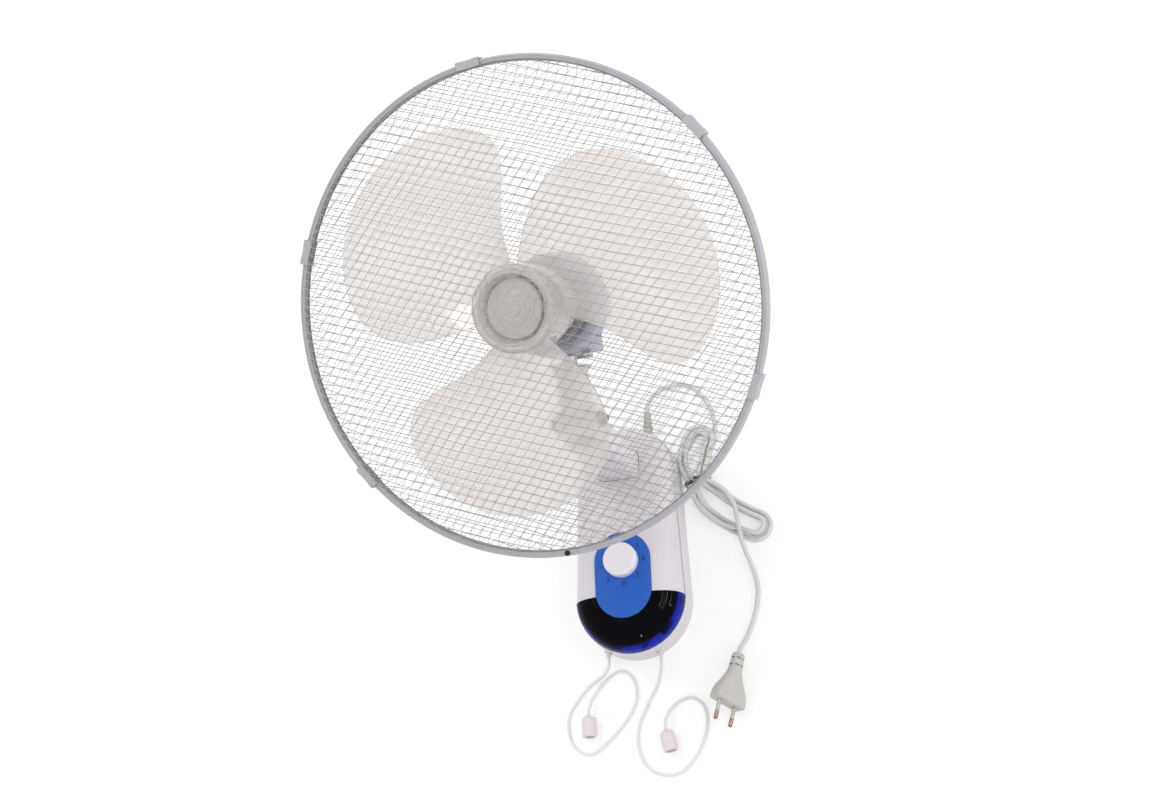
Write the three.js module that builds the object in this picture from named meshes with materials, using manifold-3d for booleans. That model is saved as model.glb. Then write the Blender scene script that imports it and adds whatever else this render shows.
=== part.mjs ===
// Wall mounted oscillating fan, lying on its back with its cords laid out beside it.
// Millimetres. X to the right, Y towards the top of the wall base, Z out of the wall.
// The origin is on the back face of the base, on its centre line.
import * as THREE from "three";
import { mergeVertices } from "three/addons/utils/BufferGeometryUtils.js";
import Module from "manifold-3d";

const wasm = await Module();
wasm.setup();

// ---------------------------------------------------------------- driving dimensions
const GAP = 0.3; // running gap between pieces that touch
const DEG = Math.PI / 180;

// wall base: a round lower end, tapering sides and a flatter round upper end
const BASE = {
  lowHalf: 52.5, lowY: -45.5, topHalf: 47.5, topY: 80, topRise: 41,
  edgeZ: 26, crown: 27.5, wall: 2.5, coverThick: 3, padThick: 4.2,
};
const BRACKET = { halfW: 30, halfL: 65, thick: 1.6, holeR: 2.6 };
const PANEL = { radius: 26.7, highY: -15.4, lowY: -43.5, top: 53.4, thick: 3, ledge: 2.5 };
const DIAL = { y: -16.5, knobR: 16, knobTop: 64.2, shaftR: 3, shaftTop: 60.8 };
const LENS = { topY: -47.4, thick: 2.2 };
const ARM = { halfW: 20, lowY: 63, highY: 90, foot: 4.5, top: 152, wall: 2.5 };
const PULL = { leftX: -28.5, rightX: 22, z: 10.5, cordR: 1.5, bellR: 7, bellLength: 21 };

// head: tilt pin on the arm, then the swing axis up the neck, then the motor axis
const TILT = { y: 80, z: 174.5, rest: 23, eyeR: 12.5, eyeHalf: 9.7, boltR: 3.9 };
const SWING = { rest: -6, pinR: 5, neckR: 15, flangeR: 18, flangeTop: 49.5 };
const HEAD = { up: 106, forward: 82 }; // guard ring centre, seen from the tilt pin
const AXIS_Z = -82; // the swing axis in the head's frame
const CRANK = { z: -110, discR: 11, throw: 9, lug: 14.5 };
const MOTOR = { r: 46, front: -50, split: -70, wall: 2.5, shaftR: 4, bearingR: 9 };
const RING = { outer: 215, inner: 207.5, half: 9, wall: 2.4, lip: 1.7 };
const MESH = { edge: 206, front: 58, rear: 44, lift: 4, thick: 2, bar: 3, pitch: 57, hub: 61 };
const WIRE_ANGLES = [-19.5, 45];
const CLIP_ANGLES = [-26, 36, 95, 158.5, 216];
const SCREW_ANGLE = -88.5;
const BOLT_R = 209.6; // the ring screw's distance from the middle
const BLADE = {
  count: 3, first: 24, level: 16.3, lead: 0.29, thick: 2.4,
  hubR: 38, hubBack: -10, hubFront: 33, seat: 20, seatR: 27,
};

// power cord
const CORD = { r: 2.3, exitX: 20, exitY: 117.5, exitZ: 11, glandLength: 24 };
const HANK = {
  left: [68, 108], bend: [44, 58], right: [118, 17.5],
  tipR: 8, unit: 5.6, waistHalf: 2.9, waistAt: 0.42, waistSpan: 0.24, waistLift: 1.6, end: 0.66,
  stations: [0, 0.16, 0.27, 0.37, 0.47, 0.58, 0.78], turnSteps: 5,
};
const PLUG = {
  face: [83.7, -152.1, 19.6], heading: -103.5, pitch: 12, roll: 55,
  length: 28.5, relief: 21, halfW: 17.2, half: 6.9, pinR: 2, pinLength: 19,
};

// ---------------------------------------------------------------- colours and finishes
const finish = (color, roughness, metalness = 0) =>
  new THREE.MeshStandardMaterial({ color, roughness, metalness });
const FINISH = {
  white: () => finish(0xe6e2ea, 0.35),
  ringGrey: () => finish(0xc9c8d2, 0.4),
  blue: () => finish(0x2b5fc0, 0.45),
  lens: () => finish(0x0a0a3c, 0.1),
  blade: () => finish(0xe4dfd8, 0.35),
  motor: () => finish(0xa8a7b4, 0.5),
  dark: () => finish(0x3a3a40, 0.6),
  steel: () => finish(0xb4b6ba, 0.35, 1),
  copper: () => finish(0xb87333, 0.4, 1),
  bronze: () => finish(0xa8824a, 0.45, 1),
  cord: () => finish(0xdcdbd6, 0.55),
  plug: () => finish(0xcfccc6, 0.5),
  brass: () => finish(0xc8a45a, 0.3, 1),
  clear: () => finish(0xf4f2e8, 0.1),
};

// ---------------------------------------------------------------- geometry helpers
function solid(geometry) {
  const bare = geometry.index ? geometry.toNonIndexed() : geometry.clone();
  const only = new THREE.BufferGeometry().setAttribute("position", bare.getAttribute("position"));
  const merged = mergeVertices(only, 1e-4);
  const mesh = new wasm.Mesh({
    numProp: 3,
    vertProperties: new Float32Array(merged.attributes.position.array),
    triVerts: new Uint32Array(merged.index.array),
  });
  return new wasm.Manifold(mesh);
}

function geometryOf(body) {
  const { numProp, vertProperties, triVerts } = body.simplify(0.05).getMesh();
  const count = vertProperties.length / numProp;
  const position = new Float32Array(count * 3);
  for (let i = 0; i < count; i++) {
    position.set(vertProperties.subarray(i * numProp, i * numProp + 3), i * 3);
  }
  return new THREE.BufferGeometry()
    .setAttribute("position", new THREE.BufferAttribute(position, 3))
    .setIndex(new THREE.BufferAttribute(new Uint32Array(triVerts), 1));
}

function add(group, name, shape, material) {
  const geometry = shape.isBufferGeometry ? shape : geometryOf(shape);
  const mesh = new THREE.Mesh(geometry, material());
  mesh.name = name;
  group.add(mesh);
  return mesh;
}

// a box between two corners
function box(x0, y0, z0, x1, y1, z1) {
  const g = new THREE.BoxGeometry(x1 - x0, y1 - y0, z1 - z0);
  g.translate((x0 + x1) / 2, (y0 + y1) / 2, (z0 + z1) / 2);
  return solid(g);
}

// a round bar along "x", "y" or "z", from a to b, centred on the two other coordinates
function bar(axis, r, a, b, u = 0, v = 0, sides = 12) {
  const g = new THREE.CylinderGeometry(r, r, b - a, sides);
  g.translate(0, (a + b) / 2, 0);
  if (axis === "x") g.rotateZ(-Math.PI / 2).translate(0, u, v);
  if (axis === "y") g.translate(u, 0, v);
  if (axis === "z") g.rotateX(Math.PI / 2).translate(u, v, 0);
  return solid(g);
}

// a closed [radius, height] profile turned about Z
function turned(profile, sides = 24) {
  let area = 0;
  profile.forEach(([r, z], i) => {
    const [r2, z2] = profile[(i + 1) % profile.length];
    area += r * z2 - r2 * z;
  });
  const ordered = area > 0 ? profile : [...profile].reverse();
  const points = ordered.map(([r, z]) => new THREE.Vector2(r, z));
  const touchesAxis = points[0].x === 0 && points[points.length - 1].x === 0;
  if (!touchesAxis) points.push(points[0].clone());
  return solid(new THREE.LatheGeometry(points, sides).rotateX(Math.PI / 2));
}

// rings of equal count, lowest first, each counter-clockwise from above, with flat fans on both ends
function loft(rings) {
  const n = rings[0].length;
  const position = [];
  const quad = (a, b, c, d) => position.push(...a, ...b, ...c, ...a, ...c, ...d);
  for (let k = 0; k + 1 < rings.length; k++) {
    for (let i = 0; i < n; i++) {
      const j = (i + 1) % n;
      quad(rings[k][i], rings[k][j], rings[k + 1][j], rings[k + 1][i]);
    }
  }
  const middle = (ring) => [0, 1, 2].map((c) => ring.reduce((s, p) => s + p[c], 0) / n);
  const low = rings[0];
  const high = rings[rings.length - 1];
  for (let i = 0; i < n; i++) {
    const j = (i + 1) % n;
    position.push(...middle(low), ...low[j], ...low[i]);
    position.push(...middle(high), ...high[i], ...high[j]);
  }
  const g = new THREE.BufferGeometry();
  g.setAttribute("position", new THREE.BufferAttribute(new Float32Array(position), 3));
  return solid(g);
}

// a flat outline with an optional hole, raised from z0 to z1
function prism(outline, z0, z1, hole) {
  const shape = new THREE.Shape(outline);
  if (hole) shape.holes.push(new THREE.Path(hole));
  const g = new THREE.ExtrudeGeometry(shape, { depth: z1 - z0, bevelEnabled: false });
  return solid(g.translate(0, 0, z0));
}

function circleOutline(r, sides, cx = 0, cy = 0, from = 0, to = 360) {
  const closed = to - from === 360;
  const count = closed ? sides : sides + 1;
  return Array.from({ length: count }, (_, i) => {
    const a = (from + ((to - from) * i) / sides) * DEG;
    return new THREE.Vector2(cx + r * Math.cos(a), cy + r * Math.sin(a));
  });
}

const union = (...parts) => parts.reduce((a, b) => a.add(b));
const cut = (body, ...tools) => tools.reduce((a, b) => a.subtract(b), body);

// a tube through points: the section keeps its heading from one ring to the next
function tube(points, r, sides) {
  const tangents = points.map((p, i) => {
    const before = points[Math.max(i - 1, 0)];
    const after = points[Math.min(i + 1, points.length - 1)];
    return after.clone().sub(before).normalize();
  });
  let side = new THREE.Vector3(0, 0, 1).cross(tangents[0]).normalize();
  const rings = points.map((p, i) => {
    side = side.clone().addScaledVector(tangents[i], -side.dot(tangents[i])).normalize();
    const up = tangents[i].clone().cross(side);
    return Array.from({ length: sides }, (_, k) => {
      const a = ((k + 0.5) / sides) * 2 * Math.PI;
      const q = p.clone().addScaledVector(side, r * Math.cos(a)).addScaledVector(up, r * Math.sin(a));
      return [q.x, q.y, q.z];
    });
  });
  return loft(rings);
}

// a cord's free stretch: a round section drawn along a smooth curve through hand-chosen points
function cordAlong(points, r, steps, sides = 8) {
  const path = new THREE.CatmullRomCurve3(points.map((p) => new THREE.Vector3(...p)), false, "centripetal");
  const section = new THREE.Shape(circleOutline(r, sides));
  const g = new THREE.ExtrudeGeometry(section, { steps, extrudePath: path, bevelEnabled: false });
  return solid(g);
}

// ---------------------------------------------------------------- wall base
const ARC_STEPS = 10;
const SIDE_STEPS = 2;

// the outline of the base, drawn in by inset, shrunk towards its spine by f, at height z
function baseRing(inset, f, z) {
  const ring = [];
  for (let i = 0; i <= ARC_STEPS; i++) {
    const a = Math.PI + (Math.PI * i) / ARC_STEPS;
    const r = (BASE.lowHalf - inset) * f;
    ring.push([r * Math.cos(a), BASE.lowY + r * Math.sin(a), z]);
  }
  const side = (i) => {
    const t = i / SIDE_STEPS;
    const half = BASE.lowHalf + (BASE.topHalf - BASE.lowHalf) * t - inset;
    return [half * f, BASE.lowY + (BASE.topY - BASE.lowY) * t];
  };
  for (let i = 1; i < SIDE_STEPS; i++) ring.push([side(i)[0], side(i)[1], z]);
  for (let i = 0; i <= ARC_STEPS; i++) {
    const a = (Math.PI * i) / ARC_STEPS;
    const x = (BASE.topHalf - inset) * f * Math.cos(a);
    ring.push([x, BASE.topY + (BASE.topRise - inset) * f * Math.sin(a), z]);
  }
  for (let i = SIDE_STEPS - 1; i > 0; i--) ring.push([-side(i)[0], side(i)[1], z]);
  return ring;
}

// the crowned body of the base, drawn in by inset on every side but the back
function crownedBody(inset, bottom) {
  const shares = [1, 0.97, 0.87, 0.66, 0.33];
  const rings = [baseRing(inset, 1, bottom)];
  for (const f of shares) {
    const rise = (BASE.crown - inset * 0.4) * Math.pow(1 - Math.pow(f, 3.2), 0.41);
    rings.push(baseRing(inset, f, BASE.edgeZ - inset * 0.6 + rise));
  }
  return loft(rings);
}

const flatBase = (inset, z0, z1) => loft([baseRing(inset, 1, z0), baseRing(inset, 1, z1)]);

function capsule(r, z0, z1) {
  const low = circleOutline(r, 12, 0, PANEL.lowY, 180, 360);
  const high = circleOutline(r, 12, 0, PANEL.highY, 0, 180);
  return prism([...low, ...high], z0, z1);
}

const FAR = 400;
const belowY = (y, z0) => box(-FAR, -FAR, z0, FAR, y, FAR);
const armBlock = (grow, z0, z1) =>
  box(-ARM.halfW - grow, ARM.lowY - grow, z0, ARM.halfW + grow, ARM.highY + grow, z1);
const outletHole = (x) => bar("y", 4.5, -110, -70, x, PULL.z);
const BOSSES = [[38, 12], [-38, 12]];

function frontHousing() {
  const inside = crownedBody(BASE.wall, -1);
  let shell = cut(crownedBody(0, 0), inside);
  const well = cut(capsule(PANEL.radius + 2.2, 46.4, 52.2), belowY(LENS.topY + GAP, 0));
  shell = union(shell, well);
  for (const [x, y] of BOSSES) {
    shell = union(shell, cut(bar("z", 4, 4.6, 46, x, y), bar("z", 1.8, 0, 12, x, y)));
  }
  const lensRoom = belowY(LENS.topY, BASE.edgeZ - GAP);
  const pocket = capsule(PANEL.radius + GAP, PANEL.top - PANEL.thick - GAP, FAR);
  const window = capsule(PANEL.radius - PANEL.ledge, 40, FAR);
  const armRoom = armBlock(GAP + 0.2, 40, FAR);
  const gland = glandBar(CORD.r + 3.1, -14, 30);
  const outlets = union(outletHole(PULL.leftX), outletHole(PULL.rightX));
  return cut(shell, lensRoom, pocket, window, armRoom, outlets, gland);
}

function lampLens() {
  const shell = cut(crownedBody(0, 0), crownedBody(LENS.thick, -1));
  const zone = belowY(LENS.topY - GAP, BASE.edgeZ);
  return cut(shell.intersect(zone), capsule(PANEL.radius + GAP, 0, FAR));
}

function lampReflector() {
  const tray = flatBase(BASE.wall + 0.6, 22.4, 24).intersect(belowY(-52, 0));
  const socket = cut(box(-23, -86, 23.5, -15.5, -78, 36), bar("x", 3.9, -22, -14, -82, 33));
  return union(tray, socket);
}

function lampBulb() {
  const glass = turned([[0, -21], [3.4, -21], [3.4, -13], [5, -11], [5, 10], [3.6, 13.4], [0, 14.4]], 16);
  return solid(geometryOf(glass).rotateY(Math.PI / 2).translate(0, -82, 33));
}

function rearCover() {
  const plate = flatBase(BASE.wall + GAP, 0, BASE.coverThick);
  const pad = box(-BRACKET.halfW - 4, -BRACKET.halfL - 4, 0, BRACKET.halfW + 4, 97, BASE.padThick);
  const pocket = box(-BRACKET.halfW - GAP, -BRACKET.halfL - GAP, -1,
    BRACKET.halfW + GAP, BRACKET.halfL + GAP, BRACKET.thick + GAP);
  let cover = cut(union(plate, pad), pocket);
  for (const y of HOOKS) cover = cut(cover, box(-8.5, y - 3.5, -1, 8.5, y + 3.5, 9));
  for (const [x, y] of [...BOSSES, ARM_SCREW]) {
    cover = cut(cover, bar("z", 1.8, -1, 9, x, y), bar("z", 3.8, -1, 2.2, x, y));
  }
  return cover;
}

const HOOKS = [40, -40];
const ARM_SCREW = [0, 85];

function wallBracket() {
  const { halfW, halfL, thick, holeR } = BRACKET;
  let plate = box(-halfW, -halfL, 0, halfW, halfL, thick);
  for (const y of HOOKS) plate = union(plate, box(-7.5, y - 2.2, 0.4, 7.5, y - 0.6, 7.4));
  for (const [x, y] of [[0, 55], [-20, -54], [20, -54]]) plate = cut(plate, bar("z", holeR, -1, 3, x, y, 20));
  return plate;
}

function baseScrew(x, y) {
  const body = turned([[0, 0.4], [3.4, 0.4], [3.4, 1.2], [1.5, 1.9], [1.5, 9.5], [0.5, 11], [0, 11]], 16);
  return body.translate([x, y, 0]);
}

function controlPanel() {
  const plate = capsule(PANEL.radius, PANEL.top - PANEL.thick, PANEL.top);
  return cut(plate, bar("z", DIAL.shaftR + 0.6, 40, 60, 0, DIAL.y));
}

function speedKnob() {
  const r = DIAL.knobR;
  const top = DIAL.knobTop;
  const bore = DIAL.shaftR + GAP;
  const body = turned([
    [0, 61.1], [bore, 61.1], [bore, 54.2], [r - 1.6, 54.2], [r - 1.6, PANEL.top + GAP],
    [r, PANEL.top + GAP], [r, top - 3], [r - 2.2, top], [r - 6, top - 0.5], [0, top - 0.5],
  ], 28);
  return body.translate([0, DIAL.y, 0]);
}

const switchShaft = () => bar("z", DIAL.shaftR, 37, DIAL.shaftTop, 0, DIAL.y, 20);

function rotarySwitch() {
  const block = union(box(-14, DIAL.y - 14, 32, 14, DIAL.y + 14, 45), bar("z", 6, 44, 49.8, 0, DIAL.y));
  return cut(block, bar("z", DIAL.shaftR + GAP, 36.5, 60, 0, DIAL.y));
}

function pullSwitch(x) {
  const block = union(box(x - 9, -74, 4.8, x + 9, -53, 17), box(x - 4, -76, 6.5, x + 4, -73, 14.5));
  return cut(block, bar("y", PULL.cordR + 0.7, -80, -62, x, PULL.z, 12));
}

// where the straight cord leaves the round wall of the base
const wallY = (x) => BASE.lowY - Math.sqrt(BASE.lowHalf ** 2 - x ** 2);

function cordOutlet(x) {
  const inner = -wallY(x) - 10;
  const face = -wallY(x);
  const bore = PULL.cordR + 0.4;
  const body = turned([[bore, inner], [4.2, inner], [4.2, face + 0.4], [2.8, face + 1.2], [2.5, face + 6],
    [bore, face + 6]], 20);
  return solid(geometryOf(body).rotateX(Math.PI / 2).translate(x, 0, PULL.z));
}

const capacitor = () => cut(box(-40, 18, 5, -8, 34, 27), box(-40.5, 25, 26, -36, 27, 28));

function terminalBlock() {
  let block = box(8, 22, 5, 34, 34, 15);
  for (let i = 0; i < 3; i++) block = cut(block, bar("z", 2, 9, 16, 12.7 + 8.3 * i, 28, 12));
  return block;
}

function supportArm() {
  const { halfW, lowY, highY, foot, top, wall } = ARM;
  const rounded = (grow, z0, z1) => {
    const r = 7 + grow;
    const x = halfW - 7;
    const corner = (sx, sy, from) =>
      circleOutline(r, 3, sx * x, sy > 0 ? highY - 7 : lowY + 7, from, from + 90);
    const outline = [...corner(-1, -1, 180), ...corner(1, -1, 270), ...corner(1, 1, 0), ...corner(-1, 1, 90)];
    return prism(outline, z0, z1);
  };
  let arm = cut(rounded(0, foot, top), rounded(-wall, foot + 4, top - 4));
  arm = union(arm, box(-24, 60, foot, 24, 93, foot + 4));
  for (const side of [-1, 1]) {
    const x0 = side > 0 ? 10.1 : -18.4;
    const x1 = side > 0 ? 18.4 : -10.1;
    const ear = union(bar("x", 13, x0, x1, TILT.y, TILT.z, 20), box(x0, 67.2, top - 5, x1, 92.6, TILT.z));
    arm = union(arm, cut(ear, bar("x", TILT.boltR + 0.4, -40, 40, TILT.y, TILT.z, 12)));
  }
  arm = cut(arm, bar("x", TILT.eyeR + 1.2, -10.1, 10.1, TILT.y, TILT.z, 20));
  return cut(arm, bar("z", 1.8, 0, foot + 5, ...ARM_SCREW), box(-8, 84, 120, 8, 96, 132),
    box(-14, 58, foot + 4, 14, 70, 30));
}

function tiltBolt() {
  const profile = [[0, -24.5], [5, -24.5], [8, -22], [8, -18.8], [TILT.boltR, -18.8], [TILT.boltR, 25.2],
    [3, 27], [0, 27]];
  return solid(geometryOf(turned(profile, 20)).rotateY(Math.PI / 2).translate(0, TILT.y, TILT.z));
}

function tiltNut() {
  const hex = cut(bar("x", 7.4, 18.8, 24.4, 0, 0, 6), bar("x", TILT.boltR + GAP, 10, 40, 0, 0, 20));
  return hex.translate([0, TILT.y, TILT.z]);
}

// ---------------------------------------------------------------- pull cords
const LEFT_PULL = [
  [-28.5, -70, 10.5], [-28.5, -86, 10.5], [-28.5, -99, 10.5], [-29.3, -104.5, 9.8], [-34, -109.4, 6.6],
  [-41.5, -113, 3], [-51, -118.5, 1.5], [-63.3, -131.5, 1.5], [-70.7, -142.6, 1.5], [-72.9, -155.9, 1.5],
  [-70, -169.7, 1.5], [-62.4, -178.8, 1.5], [-53, -182.2, 1.5], [-42.6, -179, 1.5], [-31.8, -170, 1.5],
  [-19.3, -157.9, 1.5], [-10, -145.3, 1.5], [-5.2, -132.3, 1.5], [-7.1, -117, 1.5], [-13.6, -108.8, 1.5],
  [-22.2, -107.3, 1.5], [-32.8, -113, 1.5], [-42.5, -122.5, 2], [-48.7, -133.5, 4.2], [-50.7, -141, 6.6],
  [-51.2, -146.5, 7.3],
];
const RIGHT_PULL = [
  [22, -74, 10.5], [22, -90, 10.5], [22, -102, 10.5], [21.4, -109, 9.4], [18.4, -117.5, 4.6],
  [13.6, -126.5, 1.7], [5.6, -140.3, 1.5], [-1.9, -154.5, 1.5], [-6, -169.2, 1.5], [-5, -184.3, 1.5],
  [1.1, -198, 1.5], [11, -205.6, 1.5], [22.7, -208.3, 1.5], [34.7, -206.1, 1.5], [45.2, -197.3, 1.5],
  [54.4, -183.3, 1.5], [59.4, -169, 1.5], [60.2, -155.8, 1.5], [56.5, -145.5, 1.5], [46.8, -138.7, 1.5],
  [35.3, -140.9, 1.5], [26.3, -148.3, 2.5], [22.5, -156.5, 5.2], [21.8, -162, 7], [22.2, -167, 7.3],
];

// a lathe-turned bell, its cord hole at the start and its axis along the heading, lying on its side
function pullBell(end, heading) {
  const r = PULL.bellR;
  const l = PULL.bellLength;
  const profile = [[0, GAP], [2.6, GAP], [3.4, 1], [r - 1.6, 2.2], [r - 0.4, 4], [r, 6.5], [r, l - 1.5],
    [r - 1, l], [r - 2.4, l], [r - 2.8, l - 4], [0, l - 4]];
  const g = geometryOf(turned(profile, 20));
  g.rotateX(Math.PI / 2); // its axis now runs along -Y
  g.rotateZ((heading + 90) * DEG);
  return solid(g.translate(...end));
}

// ---------------------------------------------------------------- power cord
// the gland stands square on the base's end wall, and the cord leaves it along +Y
const glandBar = (r, from, to) => bar("y", r, CORD.exitY + from, CORD.exitY + to, CORD.exitX, CORD.exitZ, 16);

function cordGland() {
  const profile = [[CORD.r + 0.6, -12], [5, -12], [5, 3], [4.6, 5], [3.4, CORD.glandLength - 1],
    [CORD.r + 0.6, CORD.glandLength]];
  let body = turned(profile.map(([r, z]) => [r, -z]), 12);
  for (const z of [8, 13, 18]) {
    body = cut(body, turned([[3.4, -z], [6, -z], [6, -z - 1.6], [3.4, -z - 1.6]], 12));
  }
  return solid(geometryOf(body).rotateX(Math.PI / 2).translate(CORD.exitX, CORD.exitY, CORD.exitZ));
}

const LEAD = [
  [20, 104, 11], [20, 124, 11], [20, 143, 11], [21.5, 152, 9.8], [27.5, 161, 6.8], [38, 168, 3.4],
  [51, 169.5, 2.3], [64.5, 164, 2.3], [74.5, 152, 2.3], [81.5, 137, 2.3], [84.2, 123, 2.3],
];

// smooth step from 0 to 1 as x goes from a to b
function ease(x, a, b) {
  const t = Math.min(Math.max((x - a) / (b - a), 0), 1);
  return t * t * (3 - 2 * t);
}

function hankPoint(t, side, ring, layer, swing) {
  const [l, m, r] = [HANK.left, HANK.bend, HANK.right];
  const at = (c) => (1 - t) ** 2 * l[c] + 2 * t * (1 - t) * m[c] + t ** 2 * r[c];
  const along = (c) => 2 * (1 - t) * (m[c] - l[c]) + 2 * t * (r[c] - m[c]);
  const length = Math.hypot(along(0), along(1));
  const e = [along(0) / length, along(1) / length];
  const n = [-e[1], e[0]];
  const near = ease(1 - Math.abs(t - HANK.waistAt) / HANK.waistSpan, 0, 1); // 1 at the waist
  const out = HANK.tipR + (HANK.waistHalf - HANK.tipR) * near + HANK.unit * ring;
  const z = CORD.r + HANK.waistLift * near + HANK.unit * layer;
  const across = side * out * Math.cos(swing);
  const ahead = out * Math.sin(swing);
  return new THREE.Vector3(at(0) + n[0] * across + e[0] * ahead, at(1) + n[1] * across + e[1] * ahead, z);
}

// three and a half loops: outer, inner, up a layer, inner, outer; each change is made on a return run
function hankPath() {
  const { stations, turnSteps, end } = HANK;
  const loops = [
    { ring: 1, layer: 0, change: (t) => [1 - ease(1 - t, 0.76, 0.97), 0] },
    { ring: 0, layer: 0, change: (t) => [0, ease(1 - t, 0.24, 0.42)] },
    { ring: 0, layer: 1, change: (t) => [ease(1 - t, 0.02, 0.2), 1] },
    { ring: 1, layer: 1, change: null },
  ];
  const rise = (t) => (t > 0.47 ? ease(t, 0.47, 0.66) : 0);
  const start = hankPoint(0, 1, 1, 0, 0);
  const back = start.clone().sub(hankPoint(0.02, 1, 1, 0, 0)).normalize();
  const path = [start.clone().addScaledVector(back, 2 * CORD.r)];
  const turn = (t, side, ring, layer) => {
    for (let i = 0; i < turnSteps; i++) {
      path.push(hankPoint(t, side, ring, layer, (side * Math.PI * i) / turnSteps));
    }
  };
  for (const { ring, layer, change } of loops) {
    const run = change ? stations : [...stations.filter((t) => t < end), end, end + 0.05];
    for (const t of run) path.push(hankPoint(t, 1, ring, layer + (change ? 0 : rise(t)), 0));
    if (!change) break;
    turn(1, 1, ring, layer);
    path.push(hankPoint(1, -1, ...change(1), 0));
    for (const t of [...stations].reverse().slice(0, -1)) path.push(hankPoint(t, -1, ...change(t), 0));
    turn(0, -1, ...change(0));
  }
  return path;
}

// the least gap between stretches of a tube that lie further apart along it than a tight bend
function leastGap(path, r) {
  const course = new THREE.CurvePath();
  for (let i = 0; i + 1 < path.length; i++) course.add(new THREE.LineCurve3(path[i], path[i + 1]));
  const dense = course.getSpacedPoints(1200);
  const skip = Math.ceil((Math.PI * HANK.tipR * dense.length) / course.getLength());
  let least = Infinity;
  for (let i = 0; i < dense.length; i++) {
    for (let j = i + skip; j < dense.length; j++) least = Math.min(least, dense[i].distanceTo(dense[j]));
  }
  return least - 2 * r;
}

const HANK_PATH = hankPath();
console.log("hank: least gap " + leastGap(HANK_PATH, CORD.r).toFixed(2) + " mm");

function hankTie() {
  const t = HANK.waistAt;
  const c = hankPoint(t, 0, 0, 0, 0);
  const ahead = hankPoint(t + 0.01, 0, 0, 0, 0);
  const slack = CORD.r + 0.9;
  const half = HANK.waistHalf + HANK.unit + slack + 0.3;
  const low = CORD.r + HANK.waistLift - slack;
  const high = CORD.r + HANK.waistLift + HANK.unit + slack;
  const ring = cut(box(-2, -half - 0.6, low - 0.6, 2, half + 0.6, high + 0.6),
    box(-4, -half, low, 4, half, high));
  const twist = box(-1.5, -1.2, high + 0.3, 1.5, 1.2, high + 7);
  const heading = Math.atan2(ahead.y - c.y, ahead.x - c.x);
  return solid(geometryOf(union(ring, twist)).rotateZ(heading).translate(c.x, c.y, 0));
}

function tailPoints() {
  const n = HANK_PATH.length;
  const end = HANK_PATH[n - 1];
  const dir = end.clone().sub(HANK_PATH[n - 2]).normalize();
  const at = (d, dz = 0) => [end.x + dir.x * d, end.y + dir.y * d, end.z + dir.z * d + dz];
  return [at(GAP), at(5), [100.2, 38.5, 13.6], [102, 27, 13.6], [103.6, 15, 13.6], [105.2, 3.5, 13.4],
    [107.4, -6.5, 10.2], [110.6, -17.5, 5], [113.6, -29, 2.6], [115.6, -42, 2.4], [114, -57, 2.4],
    [110.2, -70.5, 2.4], [106, -81, 2.7], [101.5, -90.6, 4.4],
    ...[5, GAP].map((d) => plugAxis(PLUG.length + PLUG.relief + d))];
}

// the plug leans on one edge, its pins a little raised; its axis is measured back from the pin face
function plugAxis(back) {
  const [turn, rise] = [PLUG.heading * DEG, PLUG.pitch * DEG];
  const ahead = [Math.cos(turn) * Math.cos(rise), Math.sin(turn) * Math.cos(rise), Math.sin(rise)];
  return PLUG.face.map((c, i) => c - back * ahead[i]);
}

function placePlug(body) {
  const g = geometryOf(body); // drawn with its pins along -Y
  g.rotateY(PLUG.roll * DEG).rotateX(-PLUG.pitch * DEG).rotateZ((PLUG.heading + 90) * DEG);
  return solid(g.translate(...PLUG.face));
}

function plugBody() {
  const { halfW, half, length, relief, pinR } = PLUG;
  const outlineOf = (pairs) => pairs.map(([x, y]) => new THREE.Vector2(x, y));
  const outline = outlineOf([[-halfW + 2, 0], [halfW - 2, 0], [halfW, 2], [halfW, 9],
    [8.5, length], [-8.5, length], [-halfW, 9], [-halfW, 2]]);
  const side = prism(outlineOf([[-half, 0.8], [-half + 0.8, 0], [half - 0.8, 0], [half, 0.8], [half, 14],
    [6.2, length], [-6.2, length], [-half, 14]]), -FAR / 8, FAR / 8);
  const lying = solid(geometryOf(side).rotateY(Math.PI / 2));
  let body = prism(outline, -half, half).intersect(lying);
  let ribbed = turned([[0, -length + 2], [6, -length + 2], [6, -length], [5.3, -length - relief],
    [0, -length - relief]], 16);
  for (const back of [8, 15]) {
    const z = -length - back;
    ribbed = cut(ribbed, turned([[4, z], [7, z], [7, z - 1.6], [4, z - 1.6]], 16));
  }
  body = union(body, solid(geometryOf(ribbed).rotateX(Math.PI / 2)));
  for (const x of [-9.3, 9.3]) body = cut(body, bar("y", pinR + GAP, -1, 6, x, 0, 16));
  return placePlug(body);
}

const plugPin = (x) => {
  const pin = turned([[0, -5.6], [PLUG.pinR, -5.6], [PLUG.pinR, PLUG.pinLength - 1.4], [1.1, PLUG.pinLength],
    [0, PLUG.pinLength]], 16);
  return placePlug(solid(geometryOf(pin).rotateX(Math.PI / 2).translate(x, 0, 0)));
};

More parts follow.
